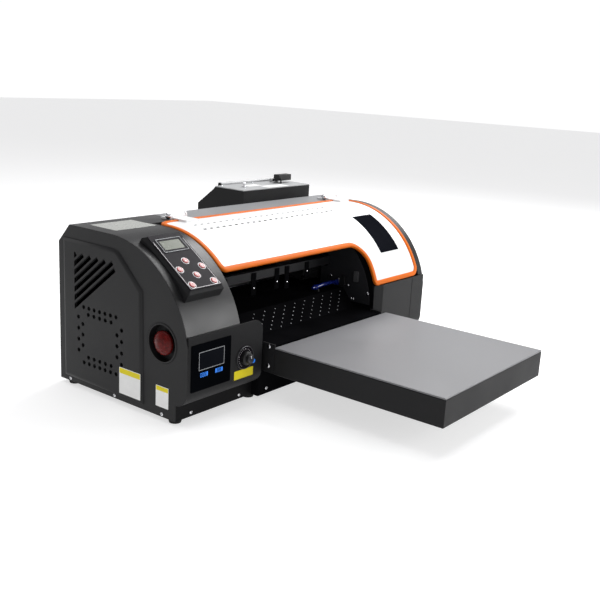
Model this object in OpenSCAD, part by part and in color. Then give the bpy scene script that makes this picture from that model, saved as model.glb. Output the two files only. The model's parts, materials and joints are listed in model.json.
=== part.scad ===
// Desktop film and sheet printer with a bolted front platform, a curved casing
// of two pods, a hinged wrap-over cover and a rear ink box. Millimetres, +Z up,
// +Y to the rear, origin on the floor at the middle of the outer box.

/* [Casing] */
// Width over the two side panels
case_w = 770; // [680:1:900]
// Depth from the front skirt to the rear panel
case_d = 320; // [290:1:380]
// Height of the flat top above the floor
case_h = 314; // [300:1:360]
// Radius of the curved front and top
arc_r = 203; // [190:1:210]
// Thickness of the folded sheet
wall = 2; // [1.2:0.1:3]
// Run of the sloped top rear edge, front to back
chamfer_run = 32; // [16:1:40]
// Drop of the sloped top rear edge
chamfer_drop = 35; // [16:1:60]
// How far the front fascias stand out past the skirt
fascia_out = 28; // [20:1:34]
// Thickness of the front fascias
fascia_t = 3; // [2:0.5:4]
// Height of the top edge of the fascias
fascia_top = 166; // [155:1:175]
// Width of the left pod at the opening
left_pod_w = 134; // [125:1:150]
// Width of the left fascia with its ear
left_fascia_w = 193; // [180:1:205]
// Width of the right pod
right_pod_w = 199; // [180:1:220]
// Height the feet lift the casing
foot_h = 8; // [5:1:15]
// Radius of a foot
foot_r = 12; // [8:1:15]
// Height of the raised field on each side panel
side_raise = 4; // [2:0.5:6]

/* [Cover] */
// Thickness of the cover sheet
cover_t = 3; // [2:0.5:4]
// Width of the coloured trim along the cover edge
trim_w = 9; // [6:0.5:12]
// How far the trim stands proud of the cover
trim_proud = 1.5; // [0.5:0.5:2.5]
// Height of the cover's lower edge over the opening
cover_low = 251.5; // [240:0.5:262]
// Width of the dark window
window_w = 73; // [50:1:90]
// Radius of the cover's hinge barrels
barrel_r = 6; // [5:0.5:7]
// Radius of the cover's hinge pins
hinge_pin_r = 2.5; // [2:0.1:3]

/* [Platform] */
// Width of the front platform
plat_w = 378; // [340:1:400]
// Depth of the front platform
plat_d = 362; // [300:1:420]
// Height of the platform's working face
plat_h = 110; // [104:1:114]
// Height of the platform's apron
apron_h = 53; // [40:1:60]
// Thickness of the platform plate
plate_t = 3; // [2:0.5:5]

/* [Print path] */
// Height of the film platen
platen_h = 150; // [146:1:154]
// Width of the film platen
platen_w = 366; // [340:1:368]
// Radius of the feed roller
feed_r = 9; // [7:0.5:10]
// Radius of the pinch rollers
pinch_r = 6.5; // [5:0.5:8]
// Film gap between the feed and pinch rollers
nip_gap = 0.7; // [0.4:0.1:1]
// Radius of the carriage guide rod
rod_r = 6; // [5:0.5:8]
// Width of the print carriage
carriage_w = 84; // [70:1:95]
// Radius of the belt pulleys
pulley_r = 8; // [6:0.5:10]
// Thickness of the timing belt
belt_t = 1.4; // [1:0.1:2]

/* [Controls] */
// Width of the control panel's faceplate
face_w = 76; // [72:1:82]
// Length of the control panel's faceplate
face_l = 133; // [130:1:138]
// Tilt of the control panel
face_tilt = 34.3; // [32:0.1:36]
// Radius of a key
key_r = 6; // [5:0.5:6.5]
// Travel of a key
key_travel = 0.8; // [0.4:0.1:1]
// Radius of the round recess in the side
cup_r = 35; // [30:1:38]
// Radius of the red push button
stop_r = 22; // [18:0.5:26]
// Travel of the red push button
stop_travel = 4; // [2:0.5:5]
// Radius of the control knob's ring
knob_ring_r = 22; // [20:0.5:23]

/* [Ink box] */
// Width of the rear ink box
ink_w = 247; // [230:1:260]
// Depth of the rear ink box
ink_d = 148; // [130:1:170]
// Height of the ink box's lid above the floor
ink_h = 338; // [325:1:345]
// Height of the ink box's floor above the floor
ink_low = 160; // [160:1:180]
// Radius of an ink bottle
bottle_r = 19; // [15:0.5:20]

/* [Fits] */
// Gap between separate covers that move past each other
cover_gap = 0.6; // [0.3:0.1:1]
// Seam between the cover's sheet and its edge trim
trim_seam = 0.1; // [0.05:0.05:0.3]
// Radial clearance of a running shaft
run_fit = 0.05; // [0.02:0.01:0.1]
// Gap where a piece sits beside its carrier
seat_gap = 0.3; // [0.2:0.1:0.5]

/* [Hidden] */
$fn = 64;
eps = 0.01;
big = 2000;

// Casing outline in the YZ plane
arc_y = 172;
arc_z = case_h - arc_r;
nose_z = fascia_out + 38;
skirt_top = nose_z - fascia_out;
chamfer_l = sqrt(chamfer_run * chamfer_run + chamfer_drop * chamfer_drop);
rear_edge_z = case_h - chamfer_drop;
inner_inset = fascia_t + seat_gap;
tray_side = 14;
deck_lip = 14;

// Places along the width
left_in = left_pod_w - wall;
right_in = case_w - right_pod_w - wall;
deck_x = 208;
throat_x0 = left_fascia_w + 6;
throat_x1 = right_in + wall;
ear_r_top = 22;
ear_r_low = 18;
fascia_flange_y = -12;
bevel_w = 23;
bevel_d = 8;
groove_x = [case_w - 174, case_w - 52];
groove_w = 1.6;
groove_d = 1;

// Cover
cover_x0 = left_pod_w + 2;
cover_x1 = case_w - 21;
cover_rear = 210.5;
deck_front = cover_rear + 2.5;
cover_in_r = arc_r - cover_t;
cover_step_x = right_in + wall;
corner_in = 38;
cover_skirt = fascia_top + 1.5;
corner_low = 20;
corner_rear = 40;
window_x = case_w - 140;
window_z = [228.5, 297.5];
vent_rows = [128, 154];
vent_x0 = 194;
vent_pitch = 17.6;
vent_count = 24;
vent_size = [7, 3];
hinge_y = 225;
hinge_z = case_h + trim_proud + barrel_r;
hinge_w = 44;
lug_t = 4;
lug_gap = 0.4;
hinge_x = [cover_x0 + 54, cover_x1 - trim_w - trim_seam - hinge_w + lug_t + lug_gap];
tab_t = 2.8;
tab_foot = 22;
pin_head_r = 7;
pin_head_l = 7;

// Platform
plat_x = 208;
plat_rear = -46;
plat_front = plat_rear - plat_d;
apron_low = plat_h - apron_h;
panel_y = -17;
arm_t = 3;
arm_top = plat_h + 5;
arm_flange = 18;
arm_x1 = min(throat_x1 - 2, plat_x + plat_w);
guide_z = plat_h + 1;
guide_t = 3;
guide_rear = 24;
guide_lip = 2;
guide_x1 = right_in - seat_gap;
bolt_r = 4;
bolt_h = 3;

// Film path
platen_x = 200;
platen_t = 3;
platen_ramp = [24, 58];
platen_rear = 214;
hole_r = 1.3;
hole_cols = 10;
hole_rows = 6;
hole_slant = 8;
hole_edge = 12;
hole_pitch = (platen_w - hole_rows * hole_slant - 2.5 * hole_edge) / (hole_cols - 1);
roller_y = 232;
feed_z = platen_h - feed_r;
pinch_z = platen_h + nip_gap + pinch_r;
feed_shaft_r = 4;
pinch_shaft_r = 3;
pinch_count = 5;
pinch_l = 32;

// Carriage drive
rod_y = 250;
rod_z = 196;
stay_y = 100;
stay_z = [196, 214];
carriage_x = 515;
carriage_y = [134, 212];
carriage_z = [160, 240];
head_z = platen_h + 3;
head_size = [54, 54];
belt_y = 282;
belt_z = [222, 228];
belt_in_r = pulley_r + 0.1;
drive_x = case_w - 22;
idler_x = left_pod_w + 18;
pulley_z = [219, 231];
drive_shaft_r = 2.5;
idler_post_r = 3;
motor_plate_z = 214;
window_front_y = 131;

// Controls
face_at = [22.5, -9.9, 242.8];
face_t = 2;
house_out = 5;
house_wall = 4;
house_bevel = 5;
key_x = [38, 64.5, 11.5, 38, 64.5, 11.5];
key_y = [65, 47.5, 47.5, 30, 10.5, 10.5];
key_proud = key_travel + 0.6;
lcd_at = [9, 90];
lcd_size = [57, 32];
lcd_rim = 4;
cup_at = [34.4, 143.7];
cup_depth = stop_travel + 12;
stop_proud = 8;
stop_stem_r = 12;
display_at = [8.5, 66.5];
display_size = [97.5, 84.5];
display_t = 1.5;
knob_at = [144.5, 101];
knob_r = 13;
knob_boss_r = 9;
knob_l = 15;

// Fan behind the side vents
fan_at = [205, 110];
fan_size = 92;
fan_d = 25;
fan_r = 40;
fan_hub_r = 18;
fan_pin_r = 2;
fan_blades = 7;

// Side vents, all within the raised field
field_r = 30;
slot_w = 8.4;
slot_rise = 38.2;
slot_rear_y = 269;
slot_pitch_z = 16.2;
slot_count = 7;
slot_top_z = 264;
ring_y = [136, 258];
ring_z = [58, 166];
ring_step = 12.5;
ring_pitch = [16, 21];
vent_r = 4;

// Ink box
ink_x = case_w - 8 - ink_w;
ink_slope_y = 98;
ink_slope_z = 47;
lid_t = 2.2;
lid_axis_r = 4;
lid_pin_r = 2;
lid_axis = [case_d + ink_slope_y, ink_h + 2];
lid_ear_t = 4;
bottle_count = 5;
bottle_h = 118;
latch_at = [case_w - 70, case_d + 76];
latch_axis_z = ink_h + 5;
latch_pin_r = 1.5;
latch_ear_t = 3;
latch_w = 19;

// Power entry on the rear panel
inlet_x = 40;
inlet_z = 30;
inlet_size = [60, 30];
inlet_lip = 2;
slot_in_x = [platen_x + 6, ink_x - 12];
slot_in_z = [platen_h - 20, platen_h - 10];

// Outer box of the whole machine
x_low = -stop_proud - 1;
x_high = case_w + side_raise;
y_low = plat_front;
y_high = case_d + ink_d;
mid_x = (x_low + x_high) / 2;
mid_y = (y_low + y_high) / 2;

// ---- placing helpers ----

// Casing frame: X from the left side face, Y from the skirt, Z from the floor
module at_case() {
    translate([-mid_x, -mid_y, 0]) children();
}

// Extrudes an outline drawn in YZ along +X
module along_x(x0, w) {
    translate([x0, 0, 0]) rotate([90, 0, 90]) linear_extrude(w) children();
}

// Extrudes an outline drawn in XZ along +Y
module along_y(y0, w) {
    translate([0, y0 + w, 0]) rotate([90, 0, 0]) linear_extrude(w) children();
}

module box(low, high) {
    translate(low) cube(high - low);
}

module rod_x(r, x0, x1, y, z) {
    translate([x0, y, z]) rotate([0, 90, 0]) cylinder(r = r, h = x1 - x0);
}

module rod_y(r, x, y0, y1, z) {
    translate([x, y0, z]) rotate([-90, 0, 0]) cylinder(r = r, h = y1 - y0);
}

module rod_z(r, x, y, z0, z1) {
    translate([x, y, z0]) cylinder(r = r, h = z1 - z0);
}

module span(low, high) {
    translate(low) square(high - low);
}

// ---- outlines ----

// Casing section, drawn i inside the outer face, down to height low
module case_section(i, low) {
    front = -fascia_out + i;
    top = case_h - i;
    rear = case_d - i;
    slope_y = case_d - chamfer_run - i * (chamfer_l - chamfer_run) / chamfer_drop;
    slope_z = rear_edge_z - i * (chamfer_l - chamfer_drop) / chamfer_run;
    polygon([[arc_y, low], [rear, low], [rear, slope_z], [slope_y, top], [arc_y, top]]);
    intersection() {
        translate([arc_y, arc_z]) circle(r = arc_r - i, $fn = 128);
        span([front, arc_z], [arc_y + eps, top]);
    }
    span([front, nose_z], [arc_y + eps, arc_z + eps]);
    intersection() {
        translate([0, nose_z]) circle(r = fascia_out - i);
        span([front, skirt_top], [eps, nose_z + eps]);
    }
    span([i, low], [arc_y + eps, nose_z + eps]);
}

// The sheet of the casing, one wall thick, above the fascias
module shell_section() {
    difference() {
        case_section(0, foot_h);
        case_section(wall, foot_h + wall);
        span([-big, -big], [big, fascia_top]);
        span([arc_y, -big], [big, rear_edge_z]);
    }
}

function arc_points(cx, cy, r, from, to, n) =
    [for (k = [0 : n]) [cx + r * cos(from + (to - from) * k / n), cy + r * sin(from + (to - from) * k / n)]];

// Raised field of a side panel, in YZ
module side_field() {
    rear = case_d - 16;
    top = case_h - 24;
    low = foot_h + 10;
    polygon(concat([[80, low], [rear, low], [rear, top]],
        arc_points(163, top - field_r, field_r, 90, 139, 8), [[84, 226]]));
}

// One slanted vent slot, from its upright rear end up and forward to its square end
module vent_slot(z0) {
    run_top = (slot_top_z - z0) / tan(slot_rise);
    run_field = (slot_rear_y - 142 + (z0 - 163) * 0.38) * 0.9;
    run = min(run_top, run_field);
    half = slot_w / 2;
    end = [slot_rear_y - run, z0 + run * tan(slot_rise)];
    square_off = [half * sin(slot_rise), half * cos(slot_rise)];
    polygon([[slot_rear_y, z0 - half / cos(slot_rise)], [slot_rear_y, z0 + half / cos(slot_rise)],
        end + square_off, end - square_off]);
}

// Slots above, and two nested rounded rings of round holes below
module side_vents() {
    for (k = [0 : slot_count - 1]) vent_slot(slot_top_z - slot_w / 2 - k * slot_pitch_z);
    for (inset = [0, ring_step]) {
        y0 = ring_y[0] + inset;
        y1 = ring_y[1] - inset;
        z0 = ring_z[0] + inset;
        z1 = ring_z[1] - inset;
        n_y = round((y1 - y0) / ring_pitch[0]);
        n_z = round((z1 - z0) / ring_pitch[1]);
        for (k = [1 : n_y - 1], z = [z0, z1])
            translate([y0 + (y1 - y0) * k / n_y, z]) circle(r = vent_r, $fn = 12);
        for (k = [1 : n_z - 1], y = [y0, y1])
            translate([y, z0 + (z1 - z0) * k / n_z]) circle(r = vent_r, $fn = 12);
    }
}

// Cover outline seen from the front, i inside its edge
module cover_front(i) {
    low = cover_low + i * 0.75;
    x0 = cover_x0 + i;
    x1 = cover_x1 - i;
    xs = cover_step_x + i;
    zs = cover_skirt + i;
    r = corner_low - i * 0.8;
    span([x0, low], [x1, case_h + 20]);
    difference() {
        span([xs, zs], [x1, low + eps]);
        translate([x1 - r, zs]) square([r + 1, r]);
    }
    intersection() {
        translate([x1 - r, zs + r]) circle(r = r);
        span([x1 - r - 1, zs - 1], [x1, zs + r + 1]);
    }
    difference() {
        span([xs - corner_in - i, low - corner_in - i], [xs + eps, low + eps]);
        translate([xs - corner_in - i, low - corner_in - i]) circle(r = corner_in + i);
    }
}

// Cover outline seen from above, i inside its side edges
module cover_plan(i) {
    x0 = cover_x0 + i;
    x1 = cover_x1 - i;
    r = corner_rear - i;
    yc = cover_rear - corner_rear;
    span([x0, -100], [x1, yc]);
    span([x0 + r, yc - 1], [x1, cover_rear]);
    intersection() {
        translate([x0 + r, yc]) circle(r = r);
        span([x0, yc - 1], [x0 + r + 1, yc + r]);
    }
    span([x0 + r, yc], [x1, cover_rear]);
}

// Curved sheet between two depths under the casing's outer face
module curved_sheet(out, in) {
    along_x(cover_x0 - 10, cover_x1 - cover_x0 + 20) {
        intersection() {
            difference() {
                translate([arc_y, arc_z]) circle(r = arc_r + out, $fn = 128);
                translate([arc_y, arc_z]) circle(r = arc_r - in, $fn = 128);
            }
            span([-100, arc_z + 20], [arc_y, case_h + 20]);
        }
        span([arc_y - eps, case_h - in], [cover_rear, case_h + out]);
    }
}

module cover_cut(i) {
    along_y(-100, 400) cover_front(i);
}

module plan_cut(i) {
    translate([0, 0, -10]) linear_extrude(case_h + 60) cover_plan(i);
}

// ---- casing ----

module base_tray() color("dimgray") at_case() {
    low = [wall + seat_gap, wall + seat_gap, foot_h];
    high = [case_w - wall - seat_gap, case_d - wall - seat_gap, foot_h + tray_side];
    difference() {
        box(low, high);
        box(low + [wall, wall, wall], high + [-wall, -wall, 1]);
    }
}

module side_panel() {
    difference() {
        union() {
            along_x(0, wall) case_section(0, foot_h);
            along_x(-side_raise, side_raise + eps) side_field();
        }
        along_x(-side_raise - 1, side_raise + wall + 2) side_vents();
    }
}

module left_side_panel() color("#3b3b3d") at_case() {
    difference() {
        side_panel();
        rod_x(cup_r, -side_raise - 1, wall + 1, cup_at[0], cup_at[1]);
    }
}

module right_side_panel() color("#3b3b3d") at_case() {
    translate([case_w, 0, 0]) mirror([1, 0, 0]) side_panel();
}

module left_pod_skin() color("#4a4a4c") at_case() {
    along_x(wall, left_pod_w - wall) shell_section();
    along_x(left_pod_w - eps, deck_x - left_pod_w) intersection() {
        shell_section();
        span([deck_front, 0], [big, big]);
    }
}

module right_pod_skin() color("#4a4a4c") at_case() {
    edge = cover_x1 + 2;
    step_r = cover_in_r - cover_gap;
    along_x(edge, case_w - wall - edge) difference() {
        shell_section();
        span([deck_front, 0], [big, big]);
    }
    along_x(right_in + wall + 2, edge - right_in - wall) intersection() {
        difference() {
            translate([arc_y, arc_z]) circle(r = step_r, $fn = 128);
            translate([arc_y, arc_z]) circle(r = step_r - wall, $fn = 128);
        }
        span([-big, fascia_top + 3], [arc_y, big]);
    }
    along_x(edge, wall) intersection() {
        difference() {
            translate([arc_y, arc_z]) circle(r = arc_r - 1, $fn = 128);
            translate([arc_y, arc_z]) circle(r = step_r - wall, $fn = 128);
        }
        span([-fascia_out + fascia_t, fascia_top], [arc_y, big]);
    }
}

// The two walls beside the opening, with the left one carrying the idler post
module inner_walls() color("#2f2f31") at_case() {
    floor_z = foot_h + wall;
    tray_top = foot_h + tray_side + seat_gap;
    tray_in = 2 * wall + 2 * seat_gap;
    difference() {
        union() {
            along_x(left_in, wall) case_section(inner_inset, floor_z);
            along_x(right_in, wall) case_section(inner_inset + cover_t, floor_z);
        }
        rod_x(feed_shaft_r + run_fit, 0, case_w, roller_y, feed_z);
        rod_x(pinch_shaft_r + run_fit, 0, case_w, roller_y, pinch_z);
        box([right_in - 1, window_front_y, platen_h + 1], [right_in + wall + 1, roller_y - 13, 250]);
        box([right_in - 1, window_front_y, pinch_z + 8], [right_in + wall + 1, case_d - 20, 250]);
        box([right_in - 1, deck_front - seat_gap, case_h - deck_lip - seat_gap],
            [right_in + wall + 1, deck_front + wall + seat_gap, case_h]);
        box([0, -fascia_out, 0], [case_w, tray_in, tray_top]);
        box([0, case_d - tray_in, 0], [case_w, case_d, tray_top]);
    }
    box([left_in + wall - eps, belt_y - 14, motor_plate_z], [idler_x + 12, belt_y + 14, motor_plate_z + 3]);
    rod_z(idler_post_r, idler_x, belt_y, motor_plate_z + 1, pulley_z[1] + 1);
}

// What the left fascia's rounded right corners take away, seen from the front
module ear_corners() {
    x1 = left_fascia_w;
    difference() {
        span([x1 - ear_r_top, fascia_top - ear_r_top], [x1 + 1, fascia_top + 1]);
        translate([x1 - ear_r_top, fascia_top - ear_r_top]) circle(r = ear_r_top);
    }
    difference() {
        span([x1 - ear_r_low, skirt_top - 1], [x1 + 1, skirt_top + ear_r_low]);
        translate([x1 - ear_r_low, skirt_top + ear_r_low]) circle(r = ear_r_low);
    }
}

// Front plate and its rounded lower nose, as a section in YZ
module fascia_section() {
    difference() {
        union() {
            translate([0, nose_z]) circle(r = fascia_out);
            span([-fascia_out, nose_z], [fascia_out, fascia_top]);
        }
        translate([0, nose_z]) circle(r = fascia_out - fascia_t);
        span([-fascia_out + fascia_t, nose_z], [fascia_out + 1, fascia_top + 1]);
        span([0, skirt_top - 1], [fascia_out + 1, nose_z + 1]);
    }
}

module left_fascia() color("#454547") at_case() {
    difference() {
        along_x(wall, left_fascia_w - wall) fascia_section();
        along_y(-fascia_out - 1, fascia_out + 2) ear_corners();
        rod_y(knob_boss_r + seat_gap / 2, knob_at[0], -fascia_out - 1, -fascia_out + fascia_t + 1, knob_at[1]);
    }
    box([wall, -fascia_out + 1, fascia_top - fascia_t], [left_in - seat_gap, fascia_flange_y, fascia_top]);
    box([left_fascia_w - wall, -fascia_out + 1, nose_z], [left_fascia_w, fascia_flange_y, fascia_top - ear_r_top]);
}

module right_fascia() color("#454547") at_case() {
    x0 = throat_x1 + 2;
    x1 = case_w - wall;
    y0 = -fascia_out;
    difference() {
        along_x(x0 + bevel_w, x1 - x0 - bevel_w) fascia_section();
        for (x = groove_x) box([x - groove_w / 2, y0 - 1, nose_z + 4], [x + groove_w / 2, y0 + groove_d, big]);
    }
    translate([0, 0, nose_z]) linear_extrude(fascia_top - nose_z) polygon([[x0, y0 + bevel_d],
        [x0 + bevel_w, y0], [x0 + bevel_w, y0 + fascia_t],
        [x0 + wall, y0 + bevel_d + fascia_t], [x0 + wall, fascia_flange_y], [x0, fascia_flange_y]]);
}

module front_skirts() color("#38383a") at_case() {
    box([wall, 0, foot_h], [throat_x0, wall, skirt_top + fascia_t]);
    box([throat_x1, 0, foot_h], [case_w - wall, wall, skirt_top + fascia_t]);
}

module lower_front_panel() color("#1b1b1c") at_case() {
    top = guide_z - guide_t;
    box([throat_x0, panel_y, foot_h], [guide_x1, panel_y + wall, top]);
    box([throat_x0, panel_y, foot_h], [throat_x0 + wall, 0, top]);
    box([guide_x1 - wall, panel_y, foot_h], [guide_x1, 0, top]);
    box([throat_x0, panel_y, foot_h], [guide_x1, wall, foot_h + wall]);
}

module rear_panel() color("#38383a") at_case() {
    difference() {
        box([wall, case_d - wall, foot_h], [case_w - wall, case_d, rear_edge_z]);
        box([slot_in_x[0], case_d - wall - 1, slot_in_z[0]], [slot_in_x[1], case_d + 1, slot_in_z[1]]);
        box([inlet_x, case_d - wall - 1, inlet_z], [inlet_x + inlet_size[0], case_d + 1, inlet_z + inlet_size[1]]);
    }
}

module top_deck() color("#8b8c90") at_case() {
    along_x(deck_x, case_w - wall - deck_x) intersection() {
        shell_section();
        span([deck_front, 0], [big, big]);
    }
    box([deck_x, deck_front, case_h - deck_lip], [case_w - wall, deck_front + wall, case_h - eps]);
}

module feet() color("#151515") at_case() {
    for (p = [[15, 15], [15, case_d - 25], [case_w - 15, 15], [case_w - 15, case_d - 25],
        [throat_x0 + 4, 12], [throat_x1 - 4, 12]]) rod_z(foot_r, p[0], p[1], 0, foot_h);
}

module case_screws() color("silver") at_case() {
    for (x = [-1.6, case_w], y = [33, 160, 289]) rod_x(3.4, x, x + 1.6, y, foot_h + 5.5);
    for (x = [38.7, 164.5, case_w - 164.5, case_w - 38.7]) rod_y(3.4, x, -1.6, 0, foot_h + 8);
    for (x = [throat_x0 + 24, throat_x1 - 24]) rod_y(3.4, x, panel_y - 1.6, panel_y, foot_h + 11);
    for (x = [plat_x - bolt_h, arm_x1], z = [apron_low + 14, plat_h - 1])
        rod_x(bolt_r, x, x + bolt_h, -32, z);
}

// ---- platform ----

module platform_tray() color("#333335") at_case() {
    low = [plat_x, plat_front, apron_low];
    high = [plat_x + plat_w, plat_rear, plat_h - plate_t];
    difference() {
        box(low, high);
        box(low + [wall, wall, wall], high + [-wall, -wall, 1]);
    }
}

module platform_plate() color("#a3a3a7") at_case() {
    box([plat_x, plat_front, plat_h - plate_t], [plat_x + plat_w, plat_rear, plat_h]);
}

module heater_mat() color("#c8641e") at_case() {
    box([plat_x + 14, plat_front + 14, plat_h - plate_t - 2], [plat_x + plat_w - 14, plat_rear - 14, plat_h - plate_t]);
}

module platform_arms() color("#38383a") at_case() {
    for (side = [0, 1]) {
        x0 = side == 0 ? plat_x : arm_x1 - arm_t;
        f0 = side == 0 ? x0 : x0 + arm_t - arm_flange;
        box([x0, plat_rear, apron_low + 1], [x0 + arm_t, panel_y, arm_top]);
        box([f0, panel_y - arm_t, apron_low + 1], [f0 + arm_flange, panel_y, guide_z - guide_t - 2]);
        box([f0, plat_rear, apron_low + 1], [f0 + arm_flange, plat_rear + arm_t, guide_z - guide_t - 2]);
    }
}

module front_guide_plate() color("#303032") at_case() {
    x0 = plat_x + arm_t + cover_gap;
    x1 = arm_x1 - arm_t - cover_gap;
    low = guide_z - guide_t;
    box([x0, plat_rear + 2, low], [x1, panel_y + 1, guide_z]);
    box([x0, plat_rear + 2, low], [x1, plat_rear + 4, guide_z + guide_lip]);
    box([throat_x0, panel_y + eps, low], [guide_x1, guide_rear, guide_z]);
}

// ---- film path ----

module film_platen() color("#242426") at_case() {
    x1 = platen_x + platen_w;
    low = guide_z - guide_t;
    ramp = [platen_ramp[1] - platen_ramp[0], platen_h - low];
    tilt = atan2(ramp[1], ramp[0]);
    difference() {
        along_x(platen_x, platen_w) polygon([[platen_ramp[0], low], [platen_ramp[1], platen_h],
            [platen_rear, platen_h], [platen_rear, platen_h - platen_t],
            [platen_ramp[1] + 1.4, platen_h - platen_t], [platen_ramp[0] + 4, low]]);
        for (c = [0 : hole_cols - 1], k = [1 : hole_rows])
            translate([platen_x + hole_edge + c * hole_pitch + k * hole_slant, platen_ramp[0] + ramp[0] * k / (hole_rows + 1),
                low + ramp[1] * k / (hole_rows + 1)])
                rotate([tilt - 90, 0, 0]) rotate([-90, 0, 0]) cylinder(r = hole_r, h = 12, center = true, $fn = 8);
        for (c = [0 : hole_cols - 1], y = [82 : 24 : 190])
            translate([platen_x + 3 * hole_edge + c * hole_pitch, y, platen_h]) cylinder(r = hole_r, h = 12, center = true, $fn = 8);
    }
    for (x = [platen_x, x1 - wall]) box([x, 66, foot_h + wall], [x + wall, platen_rear - 2, platen_h - platen_t + eps]);
}

module feed_roller() color("#5a5a5c") at_case() {
    rod_x(feed_r, platen_x + 6, throat_x1 - 12, roller_y, feed_z);
    rod_x(feed_shaft_r, left_in - 20, throat_x1 + 6, roller_y, feed_z);
}

module pinch_rollers() color("#77787a") at_case() {
    rod_x(pinch_shaft_r, left_in - 10, throat_x1 + 6, roller_y, pinch_z);
    step = (platen_w - 40) / (pinch_count - 1);
    for (k = [0 : pinch_count - 1])
        rod_x(pinch_r, platen_x + 20 + k * step - pinch_l / 2, platen_x + 20 + k * step + pinch_l / 2, roller_y, pinch_z);
}

module feed_motor() color("#2b2b2c") at_case() {
    difference() {
        box([left_in - 40, roller_y - 21, feed_z - 21], [left_in, roller_y + 21, feed_z + 21]);
        rod_x(feed_shaft_r + run_fit, left_in - 26, left_in + 1, roller_y, feed_z);
        rod_x(pinch_shaft_r + 1, left_in - 12, left_in + 1, roller_y, pinch_z);
    }
}

// Round guide rod behind, and the flat stay in front
module carriage_rails() color("#b9babd") at_case() {
    rod_x(rod_r, left_pod_w, case_w - wall, rod_y, rod_z);
    box([left_pod_w, stay_y, stay_z[0]], [right_in, stay_y + wall, stay_z[1]]);
    box([left_pod_w, stay_y, stay_z[1] - wall], [right_in, stay_y + 12, stay_z[1]]);
}

module carriage() color("#202022") at_case() {
    x1 = carriage_x + carriage_w;
    run_y = belt_y - belt_in_r - belt_t;
    difference() {
        union() {
            box([carriage_x, carriage_y[0], carriage_z[0]], [x1, carriage_y[1], carriage_z[1] - 16]);
            box([carriage_x + 4, carriage_y[0] + 6, carriage_z[0]], [x1 - 4, carriage_y[1] - 6, carriage_z[1]]);
            box([carriage_x, carriage_y[1] - eps, rod_z + 4], [x1, rod_y, rod_z + 16]);
            box([carriage_x, rod_y - 12, rod_z - 12], [x1, rod_y + 12, rod_z + 16]);
            box([carriage_x + 22, rod_y, rod_z + 15], [x1 - 22, run_y + belt_t + 4, belt_z[1] + 4]);
        }
        rod_x(rod_r + run_fit, carriage_x - 1, x1 + 1, rod_y, rod_z);
        box([carriage_x - 1, run_y - seat_gap, belt_z[0] - seat_gap],
            [x1 + 1, run_y + belt_t + seat_gap, belt_z[1] + seat_gap]);
    }
}

module print_head() color("#c9cacc") at_case() {
    xm = carriage_x + carriage_w / 2;
    ym = (carriage_y[0] + carriage_y[1]) / 2;
    box([xm - head_size[0] / 2, ym - head_size[1] / 2, head_z + 2], [xm + head_size[0] / 2, ym + head_size[1] / 2, carriage_z[0]]);
    box([xm - 20, ym - 20, head_z], [xm + 20, ym + 20, head_z + 3]);
}

module pulley(x) {
    rod_z(pulley_r, x, belt_y, belt_z[0] - 0.8, belt_z[1] + 0.8);
    rod_z(pulley_r + 2, x, belt_y, pulley_z[0], belt_z[0] - 0.5);
    rod_z(pulley_r + 2, x, belt_y, belt_z[1] + 0.5, pulley_z[1]);
}

module drive_pulley() color("#c0a060") at_case() {
    pulley(drive_x);
    rod_z(drive_shaft_r, drive_x, belt_y, motor_plate_z - 18, pulley_z[1]);
}

module idler_pulley() color("#c0a060") at_case() {
    difference() {
        pulley(idler_x);
        rod_z(idler_post_r + run_fit, idler_x, belt_y, 0, big);
    }
}

module timing_belt() color("#101010") at_case() {
    r1 = belt_in_r + belt_t;
    translate([0, 0, belt_z[0]]) linear_extrude(belt_z[1] - belt_z[0]) difference() {
        union() {
            for (x = [idler_x, drive_x]) translate([x, belt_y]) circle(r = r1);
            span([idler_x, belt_y - r1], [drive_x, belt_y + r1]);
        }
        for (x = [idler_x, drive_x]) translate([x, belt_y]) circle(r = belt_in_r);
        span([idler_x, belt_y - belt_in_r], [drive_x, belt_y + belt_in_r]);
    }
}

module carriage_motor() color("#2b2b2c") at_case() {
    difference() {
        union() {
            box([drive_x - 18, belt_y - 18, motor_plate_z - 42], [drive_x + 18, belt_y + 18, motor_plate_z]);
            box([drive_x - 22, belt_y - 22, motor_plate_z], [case_w - wall, case_d - wall, motor_plate_z + 2]);
        }
        rod_z(drive_shaft_r + run_fit, drive_x, belt_y, motor_plate_z - 22, motor_plate_z + 3);
    }
}

module capping_station() color("#303234") at_case() {
    low = [right_in + 72, carriage_y[0] + 12, foot_h + wall];
    difference() {
        box(low, low + [76, 56, platen_h - 12 - foot_h - wall]);
        box(low + [5, 5, 60], low + [71, 51, big]);
    }
    box(low + [16, 8, 40], [low[0] + 60, low[1] + 48, platen_h]);
}

// ---- inside the pods ----

module fan_frame() color("#232325") at_case() {
    y0 = fan_at[0];
    z0 = fan_at[1];
    h = fan_size / 2;
    x0 = wall + seat_gap;
    difference() {
        box([x0, y0 - h, z0 - h], [x0 + fan_d, y0 + h, z0 + h]);
        rod_x(fan_r + 3, x0 - 1, x0 + fan_d + 1, y0, z0);
    }
    box([x0 + fan_d - 3, y0 - h + 1, z0 - 4], [x0 + fan_d, y0 + h - 1, z0 + 4]);
    box([x0 + fan_d - 3, y0 - 4, z0 - h + 1], [x0 + fan_d, y0 + 4, z0 + h - 1]);
    rod_x(fan_hub_r, x0 + fan_d - 5, x0 + fan_d, y0, z0);
    rod_x(fan_pin_r, x0 + 6, x0 + fan_d - 4, y0, z0);
}

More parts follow.
